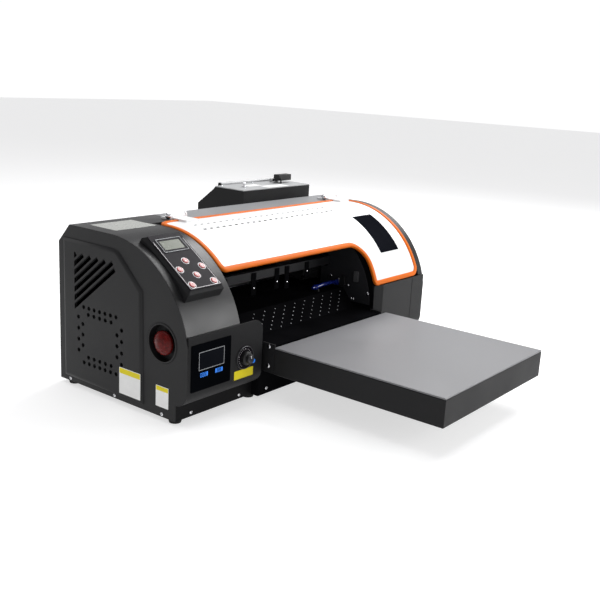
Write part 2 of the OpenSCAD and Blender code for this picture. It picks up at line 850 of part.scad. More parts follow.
module fan_rotor() color("#1a1a1b") at_case() {
    x0 = wall + seat_gap + 3;
    difference() {
        union() {
            rod_x(fan_hub_r, x0, x0 + 16, fan_at[0], fan_at[1]);
            for (k = [0 : fan_blades - 1]) translate([x0 + 8, fan_at[0], fan_at[1]])
                rotate([k * 360 / fan_blades, 0, 0]) rotate([0, 0, 40])
                    translate([-9, -1, 0]) cube([18, 2, fan_r - 4]);
        }
        rod_x(fan_pin_r + run_fit, x0 + 2, x0 + 30, fan_at[0], fan_at[1]);
        box([x0 - 10, 0, 0], [x0 - 1, case_d, case_h]);
        box([x0 + 16, 0, 0], [x0 + 40, case_d, case_h]);
    }
}

module power_supply() color("#a9aaac") at_case() {
    box([right_in + 40, 30, foot_h + wall], [case_w - 30, 130, foot_h + 54]);
}

module main_board() color("#1d5a35") at_case() {
    x0 = 22;
    z0 = foot_h + 14;
    box([x0, 60, z0], [x0 + 96, 270, z0 + wall]);
    for (x = [x0 + 6, x0 + 90], y = [66, 264]) rod_z(3, x, y, foot_h + wall, z0 + eps);
    box([x0 + 20, 90, z0 + wall], [x0 + 60, 130, z0 + 12]);
    box([x0 + 14, 180, z0 + wall], [x0 + 44, 240, z0 + 18]);
    for (y = [80 : 26 : 250]) box([x0 + 76, y, z0 + wall], [x0 + 90, y + 18, z0 + 12]);
}

module power_inlet() color("#161616") at_case() {
    w = inlet_size[0];
    h = inlet_size[1];
    difference() {
        union() {
            box([inlet_x + seat_gap, case_d - 24, inlet_z + seat_gap], [inlet_x + w - seat_gap, case_d, inlet_z + h - seat_gap]);
            box([inlet_x - 4, case_d, inlet_z - 4], [inlet_x + w + 4, case_d + inlet_lip, inlet_z + h + 4]);
        }
        box([inlet_x + 28, case_d - 20, inlet_z + 6], [inlet_x + 54, case_d + 5, inlet_z + 24]);
        box([inlet_x + 4, case_d - 16, inlet_z + 4], [inlet_x + 20, case_d + 5, inlet_z + 26]);
    }
    for (p = [[34, 12], [41, 17], [48, 12]])
        box([inlet_x + p[0] - 1, case_d - 21, inlet_z + p[1] - 2], [inlet_x + p[0] + 1, case_d - 8, inlet_z + p[1] + 2]);
    rod_x(1.5, inlet_x + 3, inlet_x + 21, case_d - 6, inlet_z + 15);
}

// Rocker, tipped to its off side about its own pivot
module rocker_switch() color("#a01818") at_case() {
    translate([inlet_x + 12, case_d - 6, inlet_z + 15]) rotate([-10, 0, 0]) difference() {
        union() {
            box([-7.6, -4, -9], [7.6, 5, 9]);
            box([-7.6, 4, -9], [7.6, 7.5, -6]);
            box([-7.6, 4, 6], [7.6, 7.5, 9]);
        }
        rod_x(1.5 + run_fit, -9, 9, 0, 0);
    }
}

// ---- controls ----

// Frame of the tilted panel: X across, Y up the panel, Z out of it
module at_face() {
    at_case() translate(face_at) rotate([face_tilt, 0, 0]) children();
}

module control_housing() color("#29292b") {
    o = house_out;
    z1 = -face_t;
    z0 = z1 - house_bevel;
    difference() {
        at_face() difference() {
            intersection() {
                along_y(-o, face_l + 2 * o) polygon([[-o, -60], [face_w + o, -60], [face_w + o, z0],
                    [face_w + 0.5, z1], [-0.5, z1], [-o, z0]]);
                along_x(-o, face_w + 2 * o) polygon([[-o, -60], [face_l + o, -60], [face_l + o, z0],
                    [face_l + 0.5, z1], [-0.5, z1], [-o, z0]]);
            }
            box([house_wall, house_wall, -61], [face_w - house_wall, face_l - house_wall, 1]);
        }
        at_case() rod_x(arc_r + seat_gap, -50, 300, arc_y, arc_z, $fn = 256);
        at_case() box([-50, arc_y, -10], [300, big, case_h + seat_gap]);
    }
}

module control_faceplate() color("#222224") at_face() {
    difference() {
        box([0, 0, -face_t], [face_w, face_l, 0]);
        for (k = [0 : 5]) translate([key_x[k], key_y[k], -5]) cylinder(r = key_r + 0.2, h = 10);
        box([lcd_at[0] + lcd_rim, lcd_at[1] + lcd_rim, -5],
            [lcd_at[0] + lcd_size[0] - lcd_rim, lcd_at[1] + lcd_size[1] - lcd_rim, 5]);
    }
}

module control_lcd() color("#8a9078") at_face() {
    box([lcd_at[0], lcd_at[1], -face_t - 4], [lcd_at[0] + lcd_size[0], lcd_at[1] + lcd_size[1], -face_t]);
}

module key(k) color("#c82020") at_face() {
    translate([key_x[k - 1], key_y[k - 1], -face_t - seat_gap]) cylinder(r = key_r, h = face_t + seat_gap + key_proud);
    translate([key_x[k - 1], key_y[k - 1], -face_t - seat_gap - 1.6]) cylinder(r = key_r + 0.4, h = 1.6);
}

module key_1() key(1);
module key_2() key(2);
module key_3() key(3);
module key_4() key(4);
module key_5() key(5);
module key_6() key(6);

module display_panel() color("#0a0a0c") at_case() {
    box([display_at[0], -fascia_out - display_t, display_at[1]],
        [display_at[0] + display_size[0], -fascia_out, display_at[1] + display_size[1]]);
}

module knob_ring() color("#c9cacc") at_case() {
    y0 = -fascia_out;
    difference() {
        union() {
            rod_y(knob_ring_r, knob_at[0], y0 - 3, y0, knob_at[1]);
            rod_y(knob_boss_r, knob_at[0], y0 - eps, y0 + fascia_t + 6, knob_at[1]);
        }
        rod_y(knob_ring_r - 2, knob_at[0], y0 - 4, y0 - 1.5, knob_at[1]);
        rod_y(3 + run_fit, knob_at[0], y0 - 10, y0 + 30, knob_at[1]);
    }
}

module knob() color("#18181a") at_case() {
    y1 = -fascia_out - 1.5 - seat_gap;
    rod_y(knob_r, knob_at[0], y1 - knob_l + 6, y1, knob_at[1]);
    rod_y(knob_r - 4, knob_at[0], y1 - knob_l, y1 - knob_l + 7, knob_at[1]);
    rod_y(3, knob_at[0], y1 - 2, -fascia_out + fascia_t + 12, knob_at[1]);
    box([knob_at[0] - 1, y1 - knob_l - 0.8, knob_at[1]], [knob_at[0] + 1, y1 - 4, knob_at[1] + knob_r - 4.5]);
}

module button_cup() color("#202021") at_case() {
    difference() {
        rod_x(cup_r - run_fit, -1, cup_depth, cup_at[0], cup_at[1]);
        rod_x(cup_r - wall, -2, cup_depth - wall, cup_at[0], cup_at[1]);
        rod_x(stop_stem_r + run_fit, 0, cup_depth + 1, cup_at[0], cup_at[1]);
    }
}

module stop_button() color("#c01818") at_case() {
    dome_r = stop_r * 1.35;
    dome_h = dome_r - sqrt(dome_r * dome_r - stop_r * stop_r);
    rim_x = -stop_proud + dome_h;
    rod_x(stop_r, rim_x, rim_x + 6, cup_at[0], cup_at[1]);
    rod_x(stop_stem_r, rim_x + 5, cup_depth + 10, cup_at[0], cup_at[1]);
    intersection() {
        translate([rim_x - dome_h + dome_r - 1, cup_at[0], cup_at[1]]) sphere(r = dome_r);
        rod_x(stop_r, rim_x - dome_h - 2, rim_x + 1, cup_at[0], cup_at[1]);
    }
}

// ---- cover ----

module hinge_tab(x) {
    b0 = x + lug_t + lug_gap;
    b1 = x + hinge_w - lug_t - lug_gap;
    foot_y = cover_rear - trim_w - trim_seam;
    low = case_h + trim_proud + eps;
    rod_x(barrel_r, b0, b1, hinge_y, hinge_z);
    box([b0, foot_y - tab_foot, case_h - eps], [b1, foot_y, low + tab_t]);
    box([b0, foot_y - eps, low], [b1, hinge_y - barrel_r + 2, low + tab_t]);
    box([b0, hinge_y - barrel_r - 1, low], [b1, hinge_y, hinge_z]);
}

module cover_skin() color("white") at_case() difference() {
    union() {
        intersection() {
            curved_sheet(0, cover_t);
            cover_cut(trim_w + trim_seam);
            plan_cut(trim_w + trim_seam);
        }
        for (x = hinge_x) hinge_tab(x);
    }
    along_y(-100, 400) span([window_x, window_z[0]], [window_x + window_w, window_z[1]]);
    for (y = vent_rows, k = [0 : vent_count - 1])
        translate([vent_x0 + k * vent_pitch, y, case_h - 6]) cube([vent_size[0], vent_size[1], 30], center = true);
    for (x = hinge_x) rod_x(hinge_pin_r + run_fit, x, x + hinge_w, hinge_y, hinge_z);
}

module cover_trim() color("#e8772e") at_case() intersection() {
    curved_sheet(trim_proud, cover_t);
    difference() {
        intersection() {
            cover_cut(0);
            plan_cut(0);
        }
        intersection() {
            cover_cut(trim_w);
            plan_cut(trim_w);
        }
    }
}

module cover_window() color("#20242a") at_case() intersection() {
    curved_sheet(0.2, cover_t);
    along_y(-100, 400) span([window_x, window_z[0]], [window_x + window_w, window_z[1]]);
}

module hinge_brackets() color("#d0d0d2") at_case() {
    for (x = hinge_x) difference() {
        union() {
            for (l = [x, x + hinge_w - lug_t]) {
                box([l, hinge_y - 7, case_h], [l + lug_t, hinge_y + 22, case_h + 4]);
                box([l, hinge_y - 7, case_h], [l + lug_t, hinge_y + 7, hinge_z]);
                rod_x(7, l, l + lug_t, hinge_y, hinge_z);
            }
            box([x, hinge_y + 9, case_h], [x + hinge_w, hinge_y + 22, case_h + 2]);
        }
        rod_x(hinge_pin_r + run_fit, x - 1, x + hinge_w + 1, hinge_y, hinge_z);
    }
}

module hinge_pins() color("#e4e5e8") at_case() {
    for (x = hinge_x) {
        rod_x(hinge_pin_r, x - 1, x + hinge_w + 1, hinge_y, hinge_z);
        intersection() {
            rod_x(pin_head_r, x - pin_head_l, x, hinge_y, hinge_z);
            translate([x, hinge_y, hinge_z]) sphere(r = pin_head_r);
        }
    }
}

// ---- rear ink box ----

// Ink box section in YZ, i inside its outer face
module ink_section(i) {
    y0 = case_d + i;
    y1 = case_d + ink_d - i;
    top = ink_h - lid_t;
    polygon([[y0, ink_low + i], [y0, top], [case_d + ink_slope_y - 6 - i, top],
        [case_d + ink_slope_y - i * 0.4, top - 6], [y1, ink_h - ink_slope_z - i * 0.4], [y1, ink_low + i]]);
}

module ink_box() color("#2c2c2e") at_case() {
    difference() {
        along_x(ink_x, ink_w) ink_section(0);
        along_x(ink_x + wall, ink_w - 2 * wall) ink_section(wall);
        box([ink_x + wall, case_d + wall, ink_h - lid_t - 1],
            [ink_x + ink_w - wall, case_d + ink_slope_y - 6 - wall, ink_h + 5]);
    }
    for (x = [ink_x + 20, ink_x + ink_w - 20 - lid_ear_t]) {
        box([x, lid_axis[0] - 4, ink_h - 14], [x + lid_ear_t, lid_axis[0] + 4, lid_axis[1]]);
        rod_x(4, x, x + lid_ear_t, lid_axis[0], lid_axis[1]);
    }
    rod_x(lid_pin_r, ink_x + 20 + lid_ear_t - eps, ink_x + 38, lid_axis[0], lid_axis[1]);
    rod_x(lid_pin_r, ink_x + ink_w - 38, ink_x + ink_w - 20 - lid_ear_t + eps, lid_axis[0], lid_axis[1]);
}

module ink_lid() color("#d6d7d9") at_case() {
    b0 = ink_x + 20 + lid_ear_t + lug_gap;
    b1 = ink_x + ink_w - 20 - lid_ear_t - lug_gap;
    z0 = ink_h - lid_t + seat_gap;
    difference() {
        union() {
            box([ink_x, case_d + seat_gap, z0], [ink_x + ink_w, lid_axis[0] - 6, ink_h]);
            box([b0, lid_axis[0] - 7, z0], [b1, lid_axis[0], ink_h]);
            rod_x(lid_axis_r, b0, b1, lid_axis[0], lid_axis[1]);
        }
        for (x = [b0 - 1, b1 - 18]) rod_x(lid_pin_r + run_fit, x, x + 19, lid_axis[0], lid_axis[1]);
    }
    for (x = [latch_at[0], latch_at[0] + latch_w + latch_ear_t + 2 * lug_gap]) {
        box([x, latch_at[1] - 4, ink_h - eps], [x + latch_ear_t, latch_at[1] + 4, latch_axis_z]);
        rod_x(4, x, x + latch_ear_t, latch_at[1], latch_axis_z);
    }
    rod_x(latch_pin_r, latch_at[0] + 1, latch_at[0] + latch_w + latch_ear_t + 2, latch_at[1], latch_axis_z);
}

// Lever block on its arm, with the bent wire foot in front
module latch_lever() color("#141414") at_case() {
    x0 = latch_at[0] + latch_ear_t + lug_gap;
    y = latch_at[1];
    z = latch_axis_z;
    difference() {
        union() {
            rod_x(3.5, x0, x0 + latch_w, y, z);
            box([x0, y - 18, z], [x0 + latch_w, y, z + 3.5]);
            box([x0 - 8, y - 31, z + 1.5], [x0 + 39, y - 13, z + 16]);
        }
        rod_x(latch_pin_r + run_fit, x0 - 1, x0 + latch_w + 1, y, z);
    }
    box([x0 - 6, y - 33, z + 4], [x0 - 3, y - 30, z + 8]);
    box([x0 - 6, y - 36, ink_h + seat_gap], [x0 - 3, y - 33, z + 8]);
}

module ink_bottles() color("#2060a0") at_case() {
    step = (ink_w - 2 * bottle_r - 16) / (bottle_count - 1);
    for (k = [0 : bottle_count - 1]) {
        x = ink_x + bottle_r + 8 + k * step;
        y = case_d + 52;
        rod_z(bottle_r, x, y, ink_low + wall, ink_low + bottle_h);
        rod_z(bottle_r * 0.55, x, y, ink_low + bottle_h - eps, ink_low + bottle_h + 16);
    }
}

base_tray();
left_side_panel();
right_side_panel();
left_pod_skin();
right_pod_skin();
inner_walls();
left_fascia();
right_fascia();
front_skirts();
lower_front_panel();
rear_panel();
top_deck();
front_guide_plate();
film_platen();
platform_tray();
platform_plate();
heater_mat();
platform_arms();
carriage_rails();
display_panel();
knob_ring();
control_housing();
control_faceplate();
control_lcd();
button_cup();
feet();
case_screws();
hinge_brackets();
hinge_pins();
ink_box();
ink_bottles();
fan_frame();
power_supply();
main_board();
power_inlet();
carriage_motor();
feed_motor();
capping_station();
timing_belt();
cover_skin();
cover_trim();
cover_window();
carriage();
print_head();
drive_pulley();
idler_pulley();
feed_roller();
pinch_rollers();
key_1();
key_2();
key_3();
key_4();
key_5();
key_6();
stop_button();
knob();
ink_lid();
latch_lever();
fan_rotor();
rocker_switch();
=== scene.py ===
"""Looks of a desktop film printer: two charcoal pods, a white wrap-over cover with
an orange edge, a bolted front platform and a rear ink box. Metres in the scene;
helpers take millimetres in the casing frame (X from the left side face, Y from the
front skirt, Z from the floor)."""
import json
import math

import bmesh
import bpy
from mathutils import Matrix, Vector


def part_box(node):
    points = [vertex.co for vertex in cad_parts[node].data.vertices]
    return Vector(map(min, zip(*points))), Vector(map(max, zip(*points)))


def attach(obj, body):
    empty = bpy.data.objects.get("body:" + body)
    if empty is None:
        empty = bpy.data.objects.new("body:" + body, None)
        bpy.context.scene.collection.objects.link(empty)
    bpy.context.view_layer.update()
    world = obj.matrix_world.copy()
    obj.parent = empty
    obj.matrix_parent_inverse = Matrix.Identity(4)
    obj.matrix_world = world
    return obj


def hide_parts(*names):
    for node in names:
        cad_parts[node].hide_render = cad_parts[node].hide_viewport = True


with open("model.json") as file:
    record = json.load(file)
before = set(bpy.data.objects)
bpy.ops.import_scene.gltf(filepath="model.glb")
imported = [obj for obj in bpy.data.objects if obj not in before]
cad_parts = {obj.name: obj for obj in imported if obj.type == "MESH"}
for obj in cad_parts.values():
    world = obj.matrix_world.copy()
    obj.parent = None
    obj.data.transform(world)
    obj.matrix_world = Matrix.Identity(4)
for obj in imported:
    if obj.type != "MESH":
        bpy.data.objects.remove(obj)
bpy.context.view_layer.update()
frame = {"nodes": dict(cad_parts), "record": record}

# ---------------------------------------------------------------- named sizes (mm)
MM = 0.001
SIDE_RAISE = 4.0
CASE_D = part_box("rear_panel")[1][1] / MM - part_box("front_skirts")[0][1] / MM
CASE_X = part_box("left_side_panel")[0][0] / MM + SIDE_RAISE
CASE_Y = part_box("front_skirts")[0][1] / MM
CASE_W = (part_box("right_side_panel")[1][0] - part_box("left_side_panel")[0][0]) / MM - 2 * SIDE_RAISE
CASE_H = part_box("left_side_panel")[1][2] / MM
FOOT_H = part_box("feet")[1][2] / MM
ARC_R, ARC_Y = 203.0, 172.0
ARC_Z = CASE_H - ARC_R
FASCIA_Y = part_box("left_fascia")[0][1] / MM - CASE_Y
NOSE_R = -FASCIA_Y
NOSE_Z = 66.0
REAR_EDGE_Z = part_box("rear_panel")[1][2] / MM
CHAMFER_RUN = 32.0
FACE_AT = (22.5, -9.9, 242.8)
FACE_TILT = math.radians(34.3)
CUP_AT = (34.4, 143.7)
KNOB_AT = (144.5, 101.0)


def P(x, y, z):
    """Casing frame in mm to the scene."""
    return Vector(((CASE_X + x) * MM, (CASE_Y + y) * MM, z * MM))


def local(node):
    """A CAD node's lowest and highest corners in the casing frame, mm."""
    low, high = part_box(node)
    shift = Vector((CASE_X, CASE_Y, 0))
    return Vector(low) / MM - shift, Vector(high) / MM - shift


# ---------------------------------------------------------------- materials
def nodes_of(name):
    mat = bpy.data.materials.new(name)
    mat.use_nodes = True
    tree = mat.node_tree
    tree.nodes.clear()
    out = tree.nodes.new("ShaderNodeOutputMaterial")
    shader = tree.nodes.new("ShaderNodeBsdfPrincipled")
    tree.links.new(shader.outputs[0], out.inputs[0])
    return mat, tree, shader


def add(tree, kind, **values):
    """A node with its sockets or properties set by name."""
    node = tree.nodes.new("ShaderNode" + kind)
    for key, value in values.items():
        if key in node.inputs:
            node.inputs[key].default_value = value
        else:
            setattr(node, key, value)
    return node


def noise(tree, scale, detail=3.0, stretch=(1, 1, 1), rough=0.5):
    place = add(tree, "TexCoord")
    bend = add(tree, "Mapping", Scale=stretch)
    tex = add(tree, "TexNoise", Scale=scale, Detail=detail, Roughness=rough)
    tree.links.new(place.outputs["Object"], bend.inputs["Vector"])
    tree.links.new(bend.outputs[0], tex.inputs["Vector"])
    return tex.outputs["Fac"]


def band(tree, fac, low, high, to_low, to_high):
    node = add(tree, "MapRange")
    for key, value in zip(("From Min", "From Max", "To Min", "To Max"), (low, high, to_low, to_high)):
        node.inputs[key].default_value = value
    tree.links.new(fac, node.inputs["Value"])
    return node.outputs[0]


def blend_colour(tree, fac, a, b):
    node = add(tree, "Mix", data_type="RGBA")
    node.inputs[6].default_value = (*a, 1)
    node.inputs[7].default_value = (*b, 1)
    tree.links.new(fac, node.inputs[0])
    return node.outputs[2]


def surface(name, colour, rough, vary=0.12, patch=14, grain=900, bump=0.05, rough_vary=0.08,
            metal=0.0, coat=0.0, coat_rough=0.1, stretch=(1, 1, 1), scuff=0.0, edge=0.6, specular=0.5):
    """A finish with patchy colour, fine grain, dull marks and softened edges."""
    mat, tree, shader = nodes_of(name)
    link = tree.links.new
    patches = noise(tree, patch, 4.0, stretch)
    fine = noise(tree, grain, 2.0, stretch, 0.6)
    dark = tuple(c * (1 - vary) for c in colour)
    light = tuple(min(1.0, c * (1 + vary)) for c in colour)
    colour_out = blend_colour(tree, band(tree, patches, 0.3, 0.7, 0, 1), dark, light)
    fleck = add(tree, "Mix", data_type="RGBA", blend_type="MULTIPLY")
    fleck.inputs[0].default_value = 0.5 * vary + 0.1
    link(colour_out, fleck.inputs[6])
    link(band(tree, fine, 0.3, 0.7, 0.7, 1.15), fleck.inputs[7])
    colour_out = fleck.outputs[2]
    rough_fac = band(tree, patches, 0.25, 0.75, rough - rough_vary, rough + rough_vary)
    if scuff > 0:
        marks = noise(tree, 45, 8.0, (1, 1, 3.5), 0.72)
        worn = band(tree, marks, 0.62, 0.74, 0, scuff)
        wear = add(tree, "Mix", data_type="RGBA")
        wear.inputs[7].default_value = (*[min(1.0, c * 1.5 + 0.005) for c in colour], 1)
        link(worn, wear.inputs[0])
        link(colour_out, wear.inputs[6])
        colour_out = wear.outputs[2]
        rough_mix = add(tree, "Math", operation="ADD")
        link(rough_fac, rough_mix.inputs[0])
        link(band(tree, marks, 0.62, 0.74, 0, 0.25 * scuff), rough_mix.inputs[1])
        rough_fac = rough_mix.outputs[0]
    link(colour_out, shader.inputs["Base Color"])
    link(rough_fac, shader.inputs["Roughness"])
    bumps = add(tree, "Bump", Strength=bump, Distance=0.0004)
    link(fine, bumps.inputs["Height"])
    if edge > 0:
        soft = add(tree, "Bevel", samples=4, Radius=edge * MM)
        link(soft.outputs[0], bumps.inputs["Normal"])
    link(bumps.outputs[0], shader.inputs["Normal"])
    shader.inputs["Metallic"].default_value = metal
    shader.inputs["Coat Weight"].default_value = coat
    shader.inputs["Coat Roughness"].default_value = coat_rough
    shader.inputs["Specular IOR Level"].default_value = specular
    return mat


def glow(name, colour, strength):
    """A lit mark behind a dark film, its tint and glow varying with a fine grain."""
    mat, tree, shader = nodes_of(name)
    fine = noise(tree, 700, 2.0)
    tint = blend_colour(tree, band(tree, fine, 0.3, 0.7, 0, 1), tuple(c * 0.8 for c in colour), colour)
    tree.links.new(tint, shader.inputs["Base Color"])
    tree.links.new(tint, shader.inputs["Emission Color"])
    tree.links.new(band(tree, fine, 0.3, 0.7, 0.3, 0.42), shader.inputs["Roughness"])
    shader.inputs["Emission Strength"].default_value = strength
    return mat


MATS = {
    "charcoal": surface("charcoal_powder_coat", (0.0105, 0.0105, 0.0113), 0.42, 0.12, 9, 1500, 0.2,
                        scuff=0.2, specular=0.21),
    # The same charcoal paint with less specular, for fascias, rear, apron, ink box, control housing and cup
    # lining: a shaded copy of one paint, painted shade that makes these faces read darker.
    "charcoal_shaded_copy": surface("charcoal_coat_shaded_copy", (0.0125, 0.0125, 0.0133), 0.48, 0.12, 9, 1500, 0.2,
                             scuff=0.2, specular=0.12),
    # Left pod only: the same charcoal powder coat with more specular and less roughness, a lit copy of one
    # paint for a painted sheen on that pod.
    "pod_lit_copy": surface("pod_powder_coat_lit_copy", (0.0105, 0.0105, 0.0113), 0.38, 0.1, 9, 1500, 0.2, scuff=0.15,
                        specular=0.36),
    "base_black": surface("base_black_coat", (0.0065, 0.0065, 0.007), 0.5, 0.12, 9, 1500, 0.2, scuff=0.2,
                          specular=0.06),
    # Real black paint of the inner parts, and also the colour of the painted shade marks: the cover slot
    # patches, the screw recess crosses and the wall slot pad.
    "inner_black": surface("inner_black_paint_and_painted_shade", (0.004, 0.004, 0.0046), 0.5, 0.25, 12, 1100, 0.12, scuff=0.3,
                           specular=0.0),
    "inner_grey": surface("inner_grey_paint", (0.02, 0.02, 0.0225), 0.45, 0.2, 12, 1100, 0.12, scuff=0.3,
                          specular=0.12),
    "deck_grey": surface("deck_grey_coat", (0.21, 0.213, 0.222), 0.4, 0.06, 7, 1500, 0.18, scuff=0.15),
    "lid_grey": surface("lid_light_grey_coat", (0.34, 0.345, 0.35), 0.4, 0.06, 7, 1500, 0.16, scuff=0.2),
    "white": surface("white_gloss_paint", (0.79, 0.79, 0.795), 0.34, 0.015, 6, 800, 0.02, specular=0.35),
    "orange": surface("orange_edge_rubber", (0.60, 0.125, 0.008), 0.45, 0.07, 20, 900, 0.08, specular=0.10),
    "tint": surface("smoked_window", (0.006, 0.0066, 0.009), 0.3, 0.2, 10, 900, 0.01, specular=0.0),
    "plate_grey": surface("platform_grey_coat", (0.17, 0.17, 0.178), 0.38, 0.04, 4, 1300, 0.16, scuff=0.08,
                          specular=0.25),
    "mat_orange": surface("silicone_heater_mat", (0.5, 0.17, 0.04), 0.6, 0.15, 30, 700, 0.3),
    "bright": surface("bright_plated_steel", (0.72, 0.72, 0.74), 0.18, 0.06, 30, 1200, 0.03, metal=1.0),
    "brushed": surface("brushed_steel", (0.5, 0.5, 0.52), 0.34, 0.1, 30, 260, 0.2, metal=1.0,
                       stretch=(1, 14, 14)),
    "rail": surface("dark_rail_paint", (0.016, 0.016, 0.0175), 0.4, 0.12, 14, 900, 0.08, scuff=0.4,
                    specular=0.12),
    "glass_black": surface("black_panel_glass", (0.002, 0.0023, 0.003), 0.25, 0.2, 14, 900, 0.01,
                           specular=0.0),
    "silver": surface("turned_silver", (0.62, 0.62, 0.64), 0.27, 0.08, 40, 500, 0.08, metal=1.0),
    "knob_grey": surface("dark_knob_metal", (0.07, 0.07, 0.075), 0.3, 0.08, 40, 500, 0.08, metal=0.6),
    "sticker": surface("silver_foil_label", (0.42, 0.43, 0.40), 0.3, 0.15, 14, 700, 0.1, metal=0.3),
    "plastic": surface("black_moulded_plastic", (0.008, 0.008, 0.0085), 0.42, 0.2, 20, 1600, 0.25, edge=0.5,
                       specular=0.3),
    "film": surface("black_membrane_film", (0.010, 0.0085, 0.0112), 0.35, 0.2, 16, 1300, 0.14, edge=0.3,
                    specular=0.03),
    "lcd": surface("unlit_lcd", (0.075, 0.085, 0.058), 0.25, 0.12, 22, 1200, 0.02, edge=0.2, specular=0.2),
    "rubber": surface("black_rubber", (0.006, 0.006, 0.006), 0.75, 0.25, 30, 900, 0.35, specular=0.3),
    "ink_blue": surface("ink_bottle_cyan", (0.01, 0.16, 0.42), 0.25, 0.15, 18, 700, 0.05, coat=0.4),
    "ink_red": surface("ink_bottle_magenta", (0.36, 0.01, 0.10), 0.25, 0.15, 18, 700, 0.05, coat=0.4),
    "ink_yellow": surface("ink_bottle_yellow", (0.62, 0.42, 0.01), 0.25, 0.15, 18, 700, 0.05, coat=0.4),
    "ink_black": surface("ink_bottle_black", (0.006, 0.006, 0.007), 0.25, 0.15, 18, 700, 0.05, coat=0.4),
    "ink_white": surface("ink_bottle_white", (0.60, 0.60, 0.58), 0.25, 0.08, 18, 700, 0.05, coat=0.4),
    "board": surface("green_board", (0.012, 0.11, 0.035), 0.35, 0.25, 120, 900, 0.2),
    "brass": surface("turned_brass", (0.6, 0.42, 0.16), 0.3, 0.1, 40, 500, 0.08, metal=1.0),
    "red": surface("red_gloss_plastic", (0.28, 0.006, 0.005), 0.22, 0.1, 18, 900, 0.03, coat=0.2, edge=0.3),
    "red_dark": surface("red_stop_plastic", (0.095, 0.0045, 0.004), 0.25, 0.4, 160, 900, 0.06, edge=0.3,
                        specular=0.16),
    "ring_white": surface("printed_white_ink", (0.62, 0.60, 0.61), 0.5, 0.05, 60, 1200, 0.05, edge=0.1),
    # Grey print on the panel, and also the pale colour of the platen studs, a painted highlight.
    "grey_print_and_glint": surface("printed_grey_ink_and_stud_glint", (0.26, 0.27, 0.28), 0.5, 0.06, 60, 1200, 0.05, edge=0.1),
    "label_white": surface("white_label_vinyl", (0.80, 0.80, 0.79), 0.4, 0.04, 40, 900, 0.05, edge=0.1),
    "label_yellow": surface("yellow_label_vinyl", (0.72, 0.60, 0.01), 0.4, 0.06, 40, 900, 0.05, edge=0.1,
                            specular=0.2),
    "tube_blue": surface("blue_air_tube", (0.004, 0.012, 0.14), 0.25, 0.1, 40, 700, 0.05, coat=0.3),
    "cable": surface("grey_flat_cable", (0.06, 0.06, 0.063), 0.5, 0.15, 60, 600, 0.2),
    "glow_blue": glow("blue_display_light", (0.01, 0.15, 0.62), 0.6),
}


CAD_FINISH = {
    "charcoal": "right_pod_skin left_side_panel right_side_panel",
    # The left pod wears the lit copy of the charcoal paint (painted sheen); the right pod, in the same
    # paint, wears the plain one.
    "pod_lit_copy": "left_pod_skin",
    # These parts wear the shaded copy of the charcoal paint (painted shade), not a darker paint.
    "charcoal_shaded_copy": "left_fascia right_fascia rear_panel platform_tray platform_arms ink_box "
                     "control_housing",
    "base_black": "base_tray front_skirts",
    "inner_black": "inner_walls lower_front_panel front_guide_plate film_platen",
    "deck_grey": "top_deck",
    "lid_grey": "ink_lid",
    "white": "cover_skin hinge_brackets",
    "orange": "cover_trim",
    "tint": "cover_window",
    "plate_grey": "platform_plate",
    "mat_orange": "heater_mat",
    "bright": "case_screws hinge_pins",
    "brushed": "power_supply print_head feed_roller",
    "rail": "carriage_rails",
    "glass_black": "display_panel",
    "silver": "knob_ring",
    "plastic": "button_cup knob latch_lever carriage fan_frame fan_rotor capping_station power_inlet",
    "film": "control_faceplate",
    "lcd": "control_lcd",
    "rubber": "feet timing_belt pinch_rollers",
    "ink_white": "ink_bottles",
    "board": "main_board",
    "inner_black ": "carriage_motor feed_motor",
    "brass": "drive_pulley idler_pulley",
    "red": "stop_button rocker_switch key_1 key_2 key_3 key_4 key_5 key_6",
}
BODY_OF = {node: body for body, names in frame["record"]["behaviour"]["bodies"].items() for node in names}


def dress(obj, mat):
    obj.data.materials.clear()
    obj.data.materials.append(mat)


for finish, names in CAD_FINISH.items():
    for node_name in names.split():
        cad = frame["nodes"][node_name]
        for index in range(max(1, len(cad.material_slots))):
            if cad.material_slots:
                cad.material_slots[index].material = MATS[finish.strip()]
            else:
                cad.data.materials.append(MATS[finish.strip()])


# ---------------------------------------------------------------- mesh helpers
def piece(name, data, finish, like, replaces=False, smooth=True, angle=35):
    """Adds a mesh in the given finish that rides with CAD node `like`'s body."""
    obj = bpy.data.objects.new(name, data)
    bpy.context.scene.collection.objects.link(obj)
    dress(obj, MATS[finish])
    if smooth:
        for face in data.polygons:
            face.use_smooth = True
        data.set_sharp_from_angle(angle=math.radians(angle))
        flat = obj.modifiers.new("face_weights", "WEIGHTED_NORMAL")
        flat.keep_sharp = True
        flat.weight = 90
    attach(obj, BODY_OF[like])
    if replaces:
        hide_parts(like)
    return obj


def from_bmesh(bm, name):
    bmesh.ops.recalc_face_normals(bm, faces=bm.faces[:])
    data = bpy.data.meshes.new(name)
    bm.to_mesh(data)
    bm.free()
    return data


def rounded_box(bm, low, high, radius=0.8, segments=3, place=P):
    """A box with rolled edges, corners in mm."""
    made = bmesh.ops.create_cube(bm, size=1.0)["verts"]
    low, high = Vector(low), Vector(high)
    for vert in made:
        for axis in range(3):
            vert.co[axis] = low[axis] if vert.co[axis] < 0 else high[axis]
    edges = list({edge for vert in made for edge in vert.link_edges})
    done = bmesh.ops.bevel(bm, geom=edges, offset=radius, segments=segments, profile=0.5, affect="EDGES",
                           clamp_overlap=True)
    verts = {vert for face in done["faces"] for vert in face.verts}
    for vert in verts:
        vert.co = place(*vert.co)


